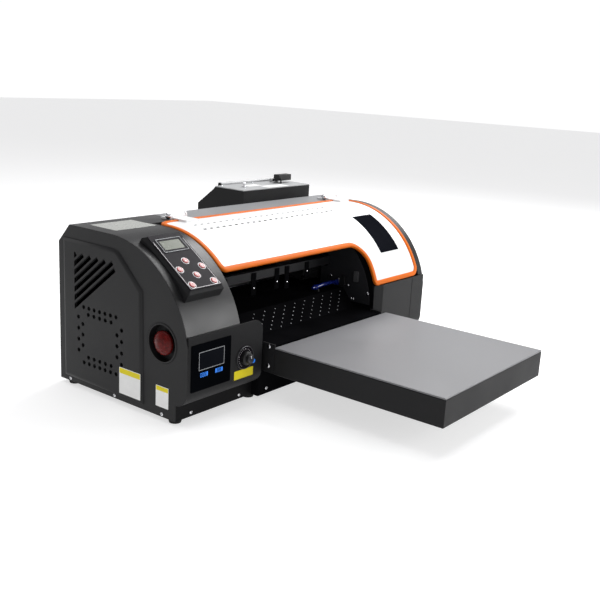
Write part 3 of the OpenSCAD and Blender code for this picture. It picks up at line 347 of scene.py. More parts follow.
def lathe(bm, profile, origin, axis, steps=48, place=P):
    """Turns (radius, height) points about an axis through origin, all in mm."""
    axis = Vector(axis).normalized()
    side = axis.orthogonal().normalized()
    other = axis.cross(side)
    rings = []
    for radius, height in profile:
        if radius < 1e-6:
            rings.append([bm.verts.new(place(*(Vector(origin) + axis * height)))])
            continue
        ring = []
        for k in range(steps):
            turn = 2 * math.pi * k / steps
            spot = Vector(origin) + axis * height + (side * math.cos(turn) + other * math.sin(turn)) * radius
            ring.append(bm.verts.new(place(*spot)))
        rings.append(ring)
    for a, b in zip(rings, rings[1:]):
        for k in range(steps):
            quad = [a[k % len(a)], a[(k + 1) % len(a)], b[(k + 1) % len(b)], b[k % len(b)]]
            quad = list(dict.fromkeys(quad))
            if len(quad) > 2:
                bm.faces.new(quad)
    for ring in (rings[0], rings[-1]):
        if len(ring) > 2:
            bm.faces.new(ring)


def arc(cx, cy, radius, start, end, count):
    """Points on an arc, angles in degrees."""
    return [(cx + radius * math.cos(math.radians(start + (end - start) * k / count)),
             cy + radius * math.sin(math.radians(start + (end - start) * k / count)))
            for k in range(count + 1)]


def rounded_rect(x0, y0, x1, y1, r, count=6):
    r = min(r, (x1 - x0) / 2 - 0.01, (y1 - y0) / 2 - 0.01)
    return (arc(x1 - r, y1 - r, r, 0, 90, count) + arc(x0 + r, y1 - r, r, 90, 180, count)
            + arc(x0 + r, y0 + r, r, 180, 270, count) + arc(x1 - r, y0 + r, r, 270, 360, count))


def sheet_mesh(name, outlines, depth, bevel, place, resolution=2):
    """Extrudes a flat outline with holes by depth, edges rolled; place maps (u, v, w) in mm."""
    curve = bpy.data.curves.new(name, "CURVE")
    curve.dimensions = "2D"
    curve.fill_mode = "BOTH"
    curve.extrude = max(0.0, depth / 2 - bevel)
    curve.bevel_depth = bevel
    curve.offset = -bevel
    curve.bevel_resolution = resolution
    for outline in outlines:
        spline = curve.splines.new("POLY")
        spline.points.add(len(outline) - 1)
        for point, (u, v) in zip(spline.points, outline):
            point.co = (u, v, 0, 1)
        spline.use_cyclic_u = True
    holder = bpy.data.objects.new(name + "_outline", curve)
    bpy.context.scene.collection.objects.link(holder)
    data = bpy.data.meshes.new_from_object(holder.evaluated_get(bpy.context.evaluated_depsgraph_get()))
    bpy.data.objects.remove(holder)
    bpy.data.curves.remove(curve)
    data.name = name
    for vert in data.vertices:
        vert.co = place(vert.co.x, vert.co.y, vert.co.z + depth / 2)
    bm = bmesh.new()
    bm.from_mesh(data)
    bmesh.ops.remove_doubles(bm, verts=bm.verts[:], dist=1e-6)
    bmesh.ops.recalc_face_normals(bm, faces=bm.faces[:])
    bm.to_mesh(data)
    bm.free()
    return data


def sweep_mesh(name, path, normals, profile, closed, place=P):
    """Sweeps a profile of (across, out) points along a path with given out directions, in mm."""
    bm = bmesh.new()
    rings = []
    count = len(path)
    for k in range(count):
        before = path[(k - 1) % count] if closed or k > 0 else path[k]
        after = path[(k + 1) % count] if closed or k < count - 1 else path[k]
        along = (Vector(after) - Vector(before)).normalized()
        out = Vector(normals[k]).normalized()
        across = along.cross(out).normalized()
        rings.append([bm.verts.new(place(*(Vector(path[k]) + across * a + out * o))) for a, o in profile])
    spans = count if closed else count - 1
    for k in range(spans):
        a, b = rings[k], rings[(k + 1) % count]
        for j in range(len(profile)):
            n = (j + 1) % len(profile)
            bm.faces.new([a[j], a[n], b[n], b[j]])
    if not closed:
        bm.faces.new(rings[0])
        bm.faces.new(rings[-1][::-1])
    return from_bmesh(bm, name)


# ---------------------------------------------------------------- outlines
def case_outline(inset):
    """The casing's side outline in (Y, Z), drawn inside the outer face."""
    slope = math.hypot(CHAMFER_RUN, CASE_H - REAR_EDGE_Z)
    rear = CASE_D - inset
    slope_z = REAR_EDGE_Z - inset * (slope - (CASE_H - REAR_EDGE_Z)) / CHAMFER_RUN
    slope_y = CASE_D - CHAMFER_RUN - inset * (slope - CHAMFER_RUN) / (CASE_H - REAR_EDGE_Z)
    front = FASCIA_Y + inset
    r = ARC_R - inset
    start = math.degrees(math.acos((front - ARC_Y) / r))
    points = [(rear, FOOT_H), (rear, slope_z), (slope_y, CASE_H - inset)]
    points += arc(ARC_Y, ARC_Z, r, 90, start, 40)
    points += arc(0, NOSE_Z, NOSE_R - inset, 180, 270, 12)
    points += [(inset, NOSE_Z - NOSE_R + inset), (inset, FOOT_H)]
    return points


def field_outline(inset=0.0):
    """The raised field of a side panel in (Y, Z)."""
    low, rear, top = FOOT_H + 10 + inset, CASE_D - 16 - inset, CASE_H - 24 - inset
    r = 30 - inset
    return [(80 + inset, low), (rear, low), (rear, top)] + arc(163, CASE_H - 54, r, 90, 139, 10) + [
        (84 + inset, 226 - 0.4 * inset)]


SLOT_W, SLOT_RISE, SLOT_REAR_Y, SLOT_TOP_Z = 8.4, math.radians(38.2), 269.0, 264.0
RING_Y, RING_Z, RING_STEP, RING_PITCH, VENT_R = (136, 258), (58, 166), 12.5, (16, 21), 4.0


def vent_outlines():
    """Slanted slots above, two nested rings of round holes below, in (Y, Z)."""
    outlines = []
    half, rise = SLOT_W / 2, math.tan(SLOT_RISE)
    for k in range(7):
        z0 = SLOT_TOP_Z - half - k * 16.2
        run = min((SLOT_TOP_Z - z0) / rise, (SLOT_REAR_Y - 142 + (z0 - 163) * 0.38) * 0.9)
        y1, z1 = SLOT_REAR_Y - run, z0 + run * rise
        off_y, off_z = half * math.sin(SLOT_RISE), half * math.cos(SLOT_RISE)
        tall = half / math.cos(SLOT_RISE)
        outlines.append([(SLOT_REAR_Y, z0 - tall), (SLOT_REAR_Y, z0 + tall), (y1 + off_y, z1 + off_z),
                         (y1 - off_y, z1 - off_z)])
    for inset in (0, RING_STEP):
        y0, y1, z0, z1 = RING_Y[0] + inset, RING_Y[1] - inset, RING_Z[0] + inset, RING_Z[1] - inset
        n_y, n_z = round((y1 - y0) / RING_PITCH[0]), round((z1 - z0) / RING_PITCH[1])
        spots = [(y0 + (y1 - y0) * k / n_y, z) for k in range(1, n_y) for z in (z0, z1)]
        spots += [(y, z0 + (z1 - z0) * k / n_z) for k in range(1, n_z) for y in (y0, y1)]
        outlines += [arc(y, z, VENT_R, 0, 340, 17) for y, z in spots]
    return outlines


# ---------------------------------------------------------------- side panels
FIELD_RIM = ((0.0, 0.0), (0.5, 0.9), (1.4, 1.9), (4.6, 3.4), (6.0, 3.85), (7.5, SIDE_RAISE))


def field_rim(name, place):
    """The sloped, rolled rim round the raised field, lofted from insets and heights."""
    bm = bmesh.new()
    rings = [[bm.verts.new(place(-height, y, z)) for y, z in field_outline(inset)]
             for inset, height in FIELD_RIM]
    for a, b in zip(rings, rings[1:]):
        for k in range(len(a)):
            n = (k + 1) % len(a)
            bm.faces.new([a[k], a[n], b[n], b[k]])
    return from_bmesh(bm, name)


def side_panel(name, like, place, cup):
    vents = vent_outlines()
    cup_hole = [arc(CUP_AT[0], CUP_AT[1], 35, 0, 354, 59)] if cup else []
    base = sheet_mesh(name, [case_outline(0)] + vents + cup_hole, 2.0, 0.5, lambda u, v, w: place(w, u, v))
    field = sheet_mesh(name + "_field", [field_outline(7.3)] + vents, 1.2, 0.25,
                       lambda u, v, w: place(w - SIDE_RAISE, u, v), 1)
    piece(name, base, "charcoal", like, replaces=True)
    piece(name + "_field", field, "charcoal", like)
    piece(name + "_field_rim", field_rim(name + "_field_rim", place), "charcoal", like, angle=50)


side_panel("left_side", "left_side_panel", lambda x, y, z: P(x, y, z), True)
side_panel("right_side", "right_side_panel", lambda x, y, z: P(CASE_W - x, y, z), False)


# ---------------------------------------------------------------- cover
COVER_X = (local("cover_trim")[0].x, local("cover_trim")[1].x)
COVER_LOW = 251.5
COVER_SKIRT = local("cover_trim")[0].z
COVER_REAR = local("cover_trim")[1].y
STEP_X = local("right_fascia")[0].x - 2
TRIM_W = 9.0


def arc_y_at(z, r):
    return ARC_Y - math.sqrt(max(0.0, r * r - (z - ARC_Z) ** 2))


def cover_path(inset):
    """The cover's edge line on the curved face: points and outward normals."""
    x0, x1 = COVER_X[0] + inset, COVER_X[1] - inset
    low, skirt = COVER_LOW + inset * 0.75, COVER_SKIRT + inset
    xs = STEP_X + inset
    flat = []
    r = 38 + inset
    flat += [(x0 + 14 + (xs - r - x0 - 14) * k / 24, low) for k in range(24)]
    flat += arc(xs - r, low - r, r, 90, 0, 14)
    flat += [(xs, low - r - (low - r - skirt - 8) * k / 5) for k in range(1, 5)]
    flat += arc(xs + 7, skirt + 7, 7, 180, 270, 6)
    flat += [(xs + 7 + (x1 - 20 - xs - 7) * k / 12, skirt) for k in range(1, 12)]
    flat += arc(x1 - 20 + inset * 0.8, skirt + 20 - inset * 0.8, 20 - inset * 0.8, 270, 360, 8)
    points = []
    for x, z in flat:
        y = arc_y_at(z, ARC_R)
        points.append(((x, y, z), (0, y - ARC_Y, z - ARC_Z)))
    first_turn = math.degrees(math.acos((skirt + 20 - ARC_Z) / ARC_R))
    for k in range(1, 24):
        turn = math.radians(first_turn * (1 - k / 23))
        out = (0, -math.sin(turn), math.cos(turn))
        points.append(((x1, ARC_Y + ARC_R * out[1], ARC_Z + ARC_R * out[2]), out))
    rear = COVER_REAR - inset
    up = (0, 0, 1)
    points += [((x, y, CASE_H), up) for x, y in arc(x1 - 6, rear - 6, 6, 0, 90, 5)]
    points += [((x1 - 6 + (x0 + 40 - x1 + 6) * k / 24, rear, CASE_H), up) for k in range(1, 24)]
    corner = arc(x0 + 40 - inset, rear - 40 + inset, 40 - inset, 90, 172, 12)
    points += [((x, y, CASE_H), up) for x, y in corner]
    end_turn = math.degrees(math.acos((low + 10 - ARC_Z) / ARC_R))
    for k in range(0, 16):
        turn = math.radians(end_turn * k / 15)
        out = (0, -math.sin(turn), math.cos(turn))
        points.append(((x0, ARC_Y + ARC_R * out[1], ARC_Z + ARC_R * out[2]), out))
    for x, z in arc(x0 + 9, low + 9, 9, 188, 262, 5):
        y = arc_y_at(z, ARC_R)
        points.append(((x, y, z), (0, y - ARC_Y, z - ARC_Z)))
    return points


def trim_profile():
    """Half-round edge trim: wide flat back, crowned face."""
    half = TRIM_W / 2 + 0.9
    crown = [(half * math.cos(math.radians(a)), -0.5 + 3.0 * math.sin(math.radians(a)) ** 0.6)
             for a in range(0, 181, 12)]
    return crown + [(-half, -2.9), (half, -2.9)]


edge_line = cover_path(TRIM_W / 2)
edge_points = [point for point, out in edge_line]
edge_normals = [out for point, out in edge_line]
trim = sweep_mesh("cover_edge_trim", edge_points, edge_normals, trim_profile(), True)
piece("cover_edge_trim", trim, "orange", "cover_trim", replaces=True, angle=60)


# ---------------------------------------------------------------- platform
def platform():
    low, high = local("platform_plate")
    bm = bmesh.new()
    rounded_box(bm, low, high, 1.3, 4)
    piece("platform_face", from_bmesh(bm, "platform_face"), "plate_grey", "platform_plate", replaces=True)
    low, high = local("platform_tray")
    bm = bmesh.new()
    rounded_box(bm, low, high, 1.6, 4)
    piece("platform_apron", from_bmesh(bm, "platform_apron"), "charcoal_shaded_copy", "platform_tray",
          replaces=True)


platform()


# ---------------------------------------------------------------- controls on the left pod
def F(u, v, w):
    """Frame of the tilted control panel: across, up the panel, out of it."""
    y = v * math.cos(FACE_TILT) - w * math.sin(FACE_TILT)
    z = v * math.sin(FACE_TILT) + w * math.cos(FACE_TILT)
    return P(FACE_AT[0] + u, FACE_AT[1] + y, FACE_AT[2] + z)


def ring_outlines(u, v, outer, inner, count=40):
    step = 360 - 360 / count
    return [arc(u, v, outer, 0, step, count - 1), arc(u, v, inner, 0, step, count - 1)]


FACE_W, FACE_L = 76.0, 133.0
KEY_SPOTS = ((38, 65), (64.5, 47.5), (11.5, 47.5), (38, 30), (64.5, 10.5), (11.5, 10.5))


def control_panel():
    edge = [(2, 118), (2, 2), (FACE_W - 2, 2), (FACE_W - 2, 118), (FACE_W - 2.9, 118),
            (FACE_W - 2.9, 2.9), (2.9, 2.9), (2.9, 118)]
    line = sheet_mesh("panel_outline", [edge], 0.14, 0.05, F, 1)
    piece("panel_outline", line, "ring_white", "control_faceplate")
    rim = [rounded_rect(9.2, 89.7, 67.3, 122.3, 1.5), rounded_rect(10.4, 90.9, 66.1, 121.1, 1)]
    piece("lcd_rim", sheet_mesh("lcd_rim", rim, 1.3, 0.3, F), "grey_print_and_glint", "control_faceplate")
    mask = [rounded_rect(10.4, 90.9, 66.1, 121.1, 1), rounded_rect(14.6, 95.2, 61.9, 117.2, 0.8)]
    piece("lcd_mask", sheet_mesh("lcd_mask", mask, 0.7, 0.2, F), "film", "control_faceplate")
    screen = sheet_mesh("lcd_screen", [rounded_rect(14.2, 94.8, 62.3, 117.6, 0.6)], 0.4, 0.1, F)
    piece("lcd_screen", screen, "lcd", "control_lcd")
    for k, (u, v) in enumerate(KEY_SPOTS):
        ring = sheet_mesh(f"key_ring_{k + 1}", ring_outlines(u, v, 7.9, 6.6), 0.16, 0.05, F, 1)
        piece(f"key_ring_{k + 1}", ring, "ring_white", "control_faceplate")
        bm = bmesh.new()
        cap = [(5.0, -2.2), (5.95, -2.0), (5.95, 0.6), (5.6, 1.15), (4.6, 1.4), (2.5, 1.3), (0, 1.25)]
        lathe(bm, cap, (u, v, 0), (0, 0, 1), 40, F)
        piece(f"key_cap_{k + 1}", from_bmesh(bm, f"key_cap_{k + 1}"), "red", f"key_{k + 1}", replaces=True)
        if k < 4:
            turn = (90, 0, 180, 270)[k]
            tip = [arc(u, v, 2.6, turn + a, turn + a, 1)[0] for a in (0, 125, 235)]
            mark = sheet_mesh(f"key_mark_{k + 1}", [tip], 0.5, 0.12, lambda a, b, c: F(a, b, c + 1.1), 1)
            piece(f"key_mark_{k + 1}", mark, "ring_white", f"key_{k + 1}")


def stop_button():
    bm = bmesh.new()
    skirt = [(12, -26), (12, -7.5), (20.4, -7.2), (21.5, -6.4), (22, -4.8), (22, -2.4), (21.5, -0.9),
             (20.2, 0.6), (18.0, 2.5), (14.5, 4.9), (10.5, 6.8), (6.0, 8.1), (2.5, 8.6), (0, 8.7)]
    ridge_profile = [(1.1, -0.8), (0.9, 0.35), (0, 0.6), (-0.9, 0.35), (-1.1, -0.8)]
    lathe(bm, skirt, (0, *CUP_AT), (-1, 0, 0), 64)
    for k in range(3):
        path, normals = [], []
        for a in range(0, 61, 6):
            turn = math.radians(a + 120 * k)
            spot = Vector((-5.4, CUP_AT[0] + 13.6 * math.cos(turn), CUP_AT[1] + 13.6 * math.sin(turn)))
            path.append(tuple(spot))
            normals.append((-1, 0.45 * math.cos(turn), 0.45 * math.sin(turn)))
        bm.from_mesh(sweep_mesh("ridge", path, normals, ridge_profile, False))
    piece("stop_button_head", from_bmesh(bm, "stop_button_head"), "red_dark", "stop_button", replaces=True)
    bm = bmesh.new()
    lathe(bm, [(33.2, -14), (33.4, -1.2), (34.2, 0.6), (36.6, 0.75), (37.2, 0.3), (37.2, -0.2), (33.9, -0.3),
               (33.9, -13.8)], (0, *CUP_AT), (-1, 0, 0), 72)
    piece("cup_lining", from_bmesh(bm, "cup_lining"), "charcoal_shaded_copy", "button_cup")


def knob_and_display():
    x, z = KNOB_AT
    y0 = FASCIA_Y
    bm = bmesh.new()
    bezel = [(20.6, 1.4), (20.7, 2.7), (21.1, 3.0), (21.7, 2.8), (22, 2.2), (22, 0)]
    lathe(bm, bezel, (x, y0, z), (0, -1, 0), 72)
    piece("knob_bezel", from_bmesh(bm, "knob_bezel"), "knob_grey", "knob_ring", replaces=True)
    bm = bmesh.new()
    lathe(bm, [(0, 1.45), (20.6, 1.5), (20.6, 0), (0, -0.4)], (x, y0, z), (0, -1, 0), 72)
    piece("knob_dial", from_bmesh(bm, "knob_dial"), "film", "knob_ring")
    bm = bmesh.new()
    for k in range(21):
        turn = math.radians(240 - k * 15)
        long = 2.6 if k % 5 == 0 else 1.5
        side = Vector((-math.sin(turn), 0, math.cos(turn))) * 0.28
        along = Vector((math.cos(turn), 0, math.sin(turn)))
        near = Vector((x, y0 - 1.5, z)) + along * 15.4
        far = near + along * long
        base = [near - side, near + side, far + side, far - side]
        lower = [bm.verts.new(P(*v)) for v in base]
        upper = [bm.verts.new(P(*(v + Vector((0, -0.12, 0))))) for v in base]
        bm.faces.new(upper)
        for i in range(4):
            bm.faces.new([lower[i], lower[(i + 1) % 4], upper[(i + 1) % 4], upper[i]])
    piece("knob_ticks", from_bmesh(bm, "knob_ticks"), "ring_white", "knob_ring")
    bm = bmesh.new()
    steps = 96
    rings = []
    grip = ((12.4, 1.9, 0.5), (13.0, 2.3, 0.5), (13.0, 8.0, 0.5), (12.2, 9.2, 0.35),
            (9.6, 10.0, 0.0), (9.2, 11.0, 0.3), (9.0, 15.6, 0.3), (8.2, 16.6, 0.0))
    for radius, height, flute in grip:
        ring = []
        for k in range(steps):
            turn = 2 * math.pi * k / steps
            r = radius - flute * (0.5 + 0.5 * math.cos(24 * turn))
            ring.append(bm.verts.new(P(x + r * math.cos(turn), y0 - height, z + r * math.sin(turn))))
        rings.append(ring)
    for a, b in zip(rings, rings[1:]):
        for k in range(steps):
            bm.faces.new([a[k], a[(k + 1) % steps], b[(k + 1) % steps], b[k]])
    bm.faces.new(rings[0])
    bm.faces.new(rings[-1])
    lathe(bm, [(3, -14), (3, -1.8), (0, -1.8)][::-1], (x, y0, z), (0, -1, 0), 24)
    piece("knob_grip", from_bmesh(bm, "knob_grip"), "plastic", "knob", replaces=True, angle=50)
    bm = bmesh.new()
    lathe(bm, [(0, 17.0), (6.6, 16.9), (7.4, 16.5), (7.6, 15.9), (0, 15.8)], (x, y0, z), (0, -1, 0), 40)
    piece("knob_cap", from_bmesh(bm, "knob_cap"), "knob_grey", "knob")
    bm = bmesh.new()
    rounded_box(bm, (x - 0.7, y0 - 17.3, z + 1.5), (x + 0.7, y0 - 16.6, z + 6.8), 0.2, 2)
    piece("knob_pointer", from_bmesh(bm, "knob_pointer"), "ring_white", "knob")
    bm = bmesh.new()
    lathe(bm, [(4.6, 2.6), (4.5, 5.0), (3.4, 6.6), (0, 7.4)], (163.5, y0, 91.5), (0, -1, 0), 32)
    piece("status_lamp", from_bmesh(bm, "status_lamp"), "glow_blue", "left_fascia")

    def on_fascia(u, v, w):
        return P(u, y0 - w, v)

    low, high = local("display_panel")
    outline = rounded_rect(low.x, low.z, high.x, high.z, 1.5)
    panel = sheet_mesh("display_glass", [outline], 1.5, 0.35, on_fascia)
    piece("display_glass", panel, "glass_black", "display_panel", replaces=True)

    def on_glass(u, v, w):
        return P(u, y0 - 1.42 - w, v)

    frame_line = [rounded_rect(26, 103, 89, 136, 0.6), rounded_rect(27.1, 104.1, 87.9, 134.9, 0.4)]
    piece("screen_outline", sheet_mesh("screen_outline", frame_line, 0.22, 0.06, on_glass, 1), "grey_print_and_glint",
          "display_panel")
    screen = [rounded_rect(27.6, 104.6, 87.4, 134.4, 0.4)]
    piece("screen_area", sheet_mesh("screen_area", screen, 0.16, 0.05, on_glass, 1), "tint", "display_panel")
    for k, u in enumerate((30.0, 67.0)):
        for j in range(4):
            left = u + j * 4.9
            bars = [rounded_rect(left, 90.2, left + 3.7, 98.2, 1.0),
                    rounded_rect(left + 0.95, 91.2, left + 2.75, 97.2, 0.5)]
            if j == 3 or (k and j == 0):
                bars = bars[:1]
            name = f"touch_mark_{k + 1}_{j + 1}"
            piece(name, sheet_mesh(name, bars, 0.24, 0.06, on_glass, 1), "glow_blue", "display_panel")
    label("dial_label", (118, 62.5, 169, 79), on_fascia, "label_yellow", "left_fascia")


def label(name, corners, place, finish, like, header=None):
    """A blank stuck-on label with rounded corners, and a coloured strip along its top edge."""
    u0, v0, u1, v1 = corners
    body = sheet_mesh(name, [rounded_rect(u0, v0, u1, v1, 1.2)], 0.25, 0.08, place, 1)
    piece(name, body, finish, like)
    if header:
        outline = rounded_rect(u0 + 1, v1 - header, u1 - 1, v1 - 1, 0.6)
        strip = sheet_mesh(name + "_strip", [outline], 0.12, 0.04, lambda u, v, w: place(u, v, w + 0.2), 1)
        piece(name + "_strip", strip, "label_yellow", like)


def labels():
    label("side_label", (85, 25, 142, 75), lambda u, v, w: P(-SIDE_RAISE - w, u, v), "label_white",
          "left_side_panel", 11)
    label("earth_label", (17, 26, 49, 65), lambda u, v, w: P(-w, u, v), "label_white", "left_side_panel", 9)
    label("top_label", (28, 190, 128, 264), lambda u, v, w: P(u, v, CASE_H + w), "sticker", "left_pod_skin")
    label("rear_label", (120, 40, 190, 84), lambda u, v, w: P(u, CASE_D + w, v), "label_white", "rear_panel")


control_panel()
stop_button()
knob_and_display()
labels()


# ---------------------------------------------------------------- cover and ink box details
def screw_head(bm, at, axis, r):
    """A low domed screw head standing on a face."""
    head = [(r * 0.96, 0.0), (r, 0.35), (r * 0.93, 0.95), (r * 0.7, 1.5), (r * 0.35, 1.8), (0, 1.85)]
    lathe(bm, head, at, axis, 28)


def cover_vent_shade():
    """Dark patches set into the cover's two rows of short slots, standing just proud of the skin: painted
    shade for the dark inside the slots.
    """
    bm = bmesh.new()
    for row_y in (128, 154):
        turn = math.asin((ARC_Y - row_y) / ARC_R)
        out = Vector((0, -math.sin(turn), math.cos(turn)))
        along = Vector((0, math.cos(turn), math.sin(turn)))
        base = Vector((0, ARC_Y, ARC_Z)) + out * (ARC_R - 0.1)
        half = (3.8, 2.1) if row_y == 128 else (3.0, 1.4)
        for k in range(24):
            x = 194 + 17.6 * k
            rounded_box(bm, (x - half[0], -half[1], -0.35), (x + half[0], half[1], 0.25), 0.2, 2,
                        lambda u, v, w: P(*(Vector((u, 0, 0)) + base + along * v + out * w)))
    piece("cover_vent_shade_patches", from_bmesh(bm, "cover_vent_shade_patches"), "inner_black", "cover_skin")


def ink_box_fittings():
    """Catch, blank labels, screws and latch parts on the ink box's lid."""
    low, high = local("ink_lid")
    top = CASE_H + 24.0
    near = low.y

    def on_lid(u, v, w):
        return P(u, v, top + w)

    label("lid_label", (low.x + 96, near + 5, low.x + 172, near + 34), on_lid, "label_white", "ink_lid")
    label("lid_label_small", (low.x + 66, near + 42, low.x + 112, near + 66), on_lid, "label_white",
          "ink_lid")
    bm = bmesh.new()
    catch = [(0, 11.5), (3.2, 11.2), (4.4, 9.8), (4.4, 7.4), (2.6, 6.6), (2.4, 2.2), (5.6, 1.6), (6, 0.8),
             (6, 0)]
    lathe(bm, catch, (low.x + 48, near + 43, top), (0, 0, 1), 32)
    piece("lid_catch", from_bmesh(bm, "lid_catch"), "bright", "ink_lid")
    bm = bmesh.new()
    for x in (low.x + 12, low.x + 122, high.x - 12):
        screw_head(bm, (x, near + 82, top), (0, 0, 1), 3.0)
    piece("lid_screws", from_bmesh(bm, "lid_screws"), "bright", "ink_lid")
    low, high = local("latch_lever")
    bm = bmesh.new()
    rounded_box(bm, (low.x - 0.3, low.y + 4.7, high.z - 14.8), (high.x + 0.3, low.y + 23.3, high.z + 0.3),
                2.4, 4)
    piece("latch_grip", from_bmesh(bm, "latch_grip"), "plastic", "latch_lever")


def ink_bottle_set():
    """Five capped ink bottles, each its own colour."""
    low, high = local("ink_bottles")
    radius = 19.0
    step = (high.x - low.x - 2 * radius) / 4
    shoulder = low.z + 116 - 0.01
    for k, finish in enumerate(("ink_black", "ink_blue", "ink_red", "ink_yellow", "ink_white")):
        at = (low.x + radius + k * step, (low.y + high.y) / 2, 0)
        bm = bmesh.new()
        body = [(0, low.z), (17.2, low.z), (18.6, low.z + 1.2), (19, low.z + 3.5), (19, shoulder - 14),
                (18.2, shoulder - 8), (15, shoulder - 3), (10.4, shoulder), (10.2, shoulder + 3),
                (0, shoulder + 3)]
        lathe(bm, body, at, (0, 0, 1), 40)
        name = f"ink_bottle_{k + 1}"
        data = from_bmesh(bm, name)
        bottle = piece(name, data, finish, "ink_bottles")
        if k == 0:
            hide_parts("ink_bottles")
        bm = bmesh.new()
        cap = [(0, high.z), (9.2, high.z), (10.3, high.z - 1), (10.9, shoulder + 4.5),
               (11.2, shoulder + 2.4), (0, shoulder + 2.4)]
        lathe(bm, cap, at, (0, 0, 1), 40)
        piece(f"ink_cap_{k + 1}", from_bmesh(bm, f"ink_cap_{k + 1}"), "plastic", "ink_bottles")


cover_vent_shade()
ink_box_fittings()
ink_bottle_set()


# ---------------------------------------------------------------- inside the opening
def platen_glint_studs():
    """Pale studs in the holes of the platen's ramp, standing in for light showing in the holes: a painted
    highlight.
    """
    low, high = local("film_platen")
    ramp = Vector((0, 34.0, 42.0))
    foot = Vector((0, 24.0, high.z - 42.0))
    out = Vector((0, -ramp.z, ramp.y)).normalized()
    bm = bmesh.new()
    pitch = (high.x - low.x - 78) / 9
    for c in range(10):
        for k in range(1, 7):
            at = Vector((low.x + 12 + c * pitch + k * 8, 0, 0)) + foot + ramp * (k / 7)
            lathe(bm, [(1.1, -1.0), (1.3, 0.1), (1.05, 0.45), (0, 0.6)], tuple(at), tuple(out), 16)
    piece("platen_glint_studs", from_bmesh(bm, "platen_glint_studs"), "grey_print_and_glint", "film_platen")


def wall_fittings():
    """Plate, slot, strip, sensor block, screws and air tube on the opening's right wall."""
    x = local("right_fascia")[0].x - 2 - 2
    curve = [(ARC_Y - math.sqrt(186.0 ** 2 - (z - ARC_Z) ** 2), z) for z in range(122, 245, 6)]
    outline = curve + [(124, curve[-1][1]), (124, 122)]

    def on_wall(u, v, w):
        return P(x - w, u, v)

    plate = sheet_mesh("wall_plate", [outline], 1.6, 0.5, on_wall)
    piece("wall_plate", plate, "inner_grey", "inner_walls")
    # The black pad standing on the plate marks the wall's slot: painted shade for the dark inside the slot.
    for name, corners, finish, thick in (("wall_slot_shade", (106, 189, 119, 219), "inner_black", 2.0),
                                         ("wall_strip", (19, 168, 31, 192), "cable", 5.0),
                                         ("wall_sensor", (52, 156, 66, 176), "plastic", 9.0)):
        part = sheet_mesh(name, [rounded_rect(*corners, 2.0)], thick, 0.6, on_wall)
        piece(name, part, finish, "inner_walls")
    bm = bmesh.new()
    screws = ((96, 169.5, 4.2), (47, 156, 3.6), (-6, 146, 4.4), (73, 166, 3.0), (36, 128, 3.4),
              (30, 128, 2.6))
    for y, z, r in screws:
        screw_head(bm, (x - 1.6, y, z), (-1, 0, 0), r)
    piece("wall_screws", from_bmesh(bm, "wall_screws"), "bright", "inner_walls")
    route = [(x - 2 - 7 * k, 74 - 3.0 * math.sin(math.pi * k / 12), 159.5 + 3.5 * math.sin(math.pi * k / 12))
             for k in range(13)]
    ring = [(4.2 * math.cos(math.radians(a)), 4.2 * math.sin(math.radians(a))) for a in range(0, 360, 30)]
    tube = sweep_mesh("air_tube", route, [(0, 0, 1)] * 13, ring, False)
    piece("air_tube", tube, "tube_blue", "inner_walls")
    bm = bmesh.new()
    wall_end = [(6.6, 0), (6.8, 6), (5.6, 7), (5.4, 13), (4.3, 14)]
    free_end = [(4.3, 0), (5.6, 1), (5.8, 9), (3.4, 11), (3.0, 16), (0, 16.5)]
    lathe(bm, wall_end, (x, 74, 159.5), (-1, 0, 0), 32)
    lathe(bm, free_end, (x - 80, 74, 159.5), (-1, 0, 0), 32)
    piece("air_fittings", from_bmesh(bm, "air_fittings"), "tube_blue", "inner_walls")
    bm = bmesh.new()
    rounded_box(bm, (x - 86, 66, local("film_platen")[1].z), (x - 80, 82, 156), 0.8, 3)
    piece("air_tube_foot", from_bmesh(bm, "air_tube_foot"), "plastic", "film_platen")


def stay_fittings():
    """Small brackets and screws on the flat stay above the film."""
    y = local("carriage_rails")[0].y
    screws = bmesh.new()
    for k, x in enumerate((222, 308, 381, 414, 482)):
        bm = bmesh.new()
        drop = (30, 34, 31, 36, 22)[k]
        rounded_box(bm, (x - 7, y - 1.6, 214 - drop - 14), (x + 7, y, 212), 0.6, 2)
        rounded_box(bm, (x - 7, y - 1.6, 214 - drop - 15), (x + 7, y + 9, 214 - drop - 13), 0.6, 2)
        piece(f"film_guide_{k + 1}", from_bmesh(bm, f"film_guide_{k + 1}"), "inner_black", "carriage_rails")
        screw_head(screws, (x, y - 1.6, 214 - drop), (0, -1, 0), 2.6)
    piece("stay_screws", from_bmesh(screws, "stay_screws"), "bright", "carriage_rails")


def carriage_details():
    """Moulded front cover, top cap, screws and cable clamp of the print carriage."""
    low, high = local("carriage")
    bm = bmesh.new()
    rounded_box(bm, (low.x + 1, low.y - 1.4, low.z + 3), (high.x - 1, low.y + 1, low.z + 60), 1.2, 3)
    for k in range(6):
        z = low.z + 14 + 6 * k
        rounded_box(bm, (low.x + 14, low.y - 2.4, z), (high.x - 14, low.y - 1.2, z + 2.4), 0.5, 2)
    rounded_box(bm, (low.x + 6, low.y + 8, low.z + 79), (high.x - 6, low.y + 70, low.z + 81.5), 1.1, 3)
    piece("carriage_cover", from_bmesh(bm, "carriage_cover"), "plastic", "carriage")
    bm = bmesh.new()
    for x in (low.x + 7, high.x - 7):
        for z in (low.z + 9, low.z + 54):
            screw_head(bm, (x, low.y - 1.4, z), (0, -1, 0), 2.4)
    piece("carriage_screws", from_bmesh(bm, "carriage_screws"), "bright", "carriage")
    bm = bmesh.new()
    rounded_box(bm, (low.x + 26, low.y + 30, low.z + 81), (high.x - 26, low.y + 60, low.z + 88), 1.4, 3)
    piece("cable_clamp", from_bmesh(bm, "cable_clamp"), "cable", "carriage")


platen_glint_studs()
wall_fittings()
stay_fittings()
carriage_details()


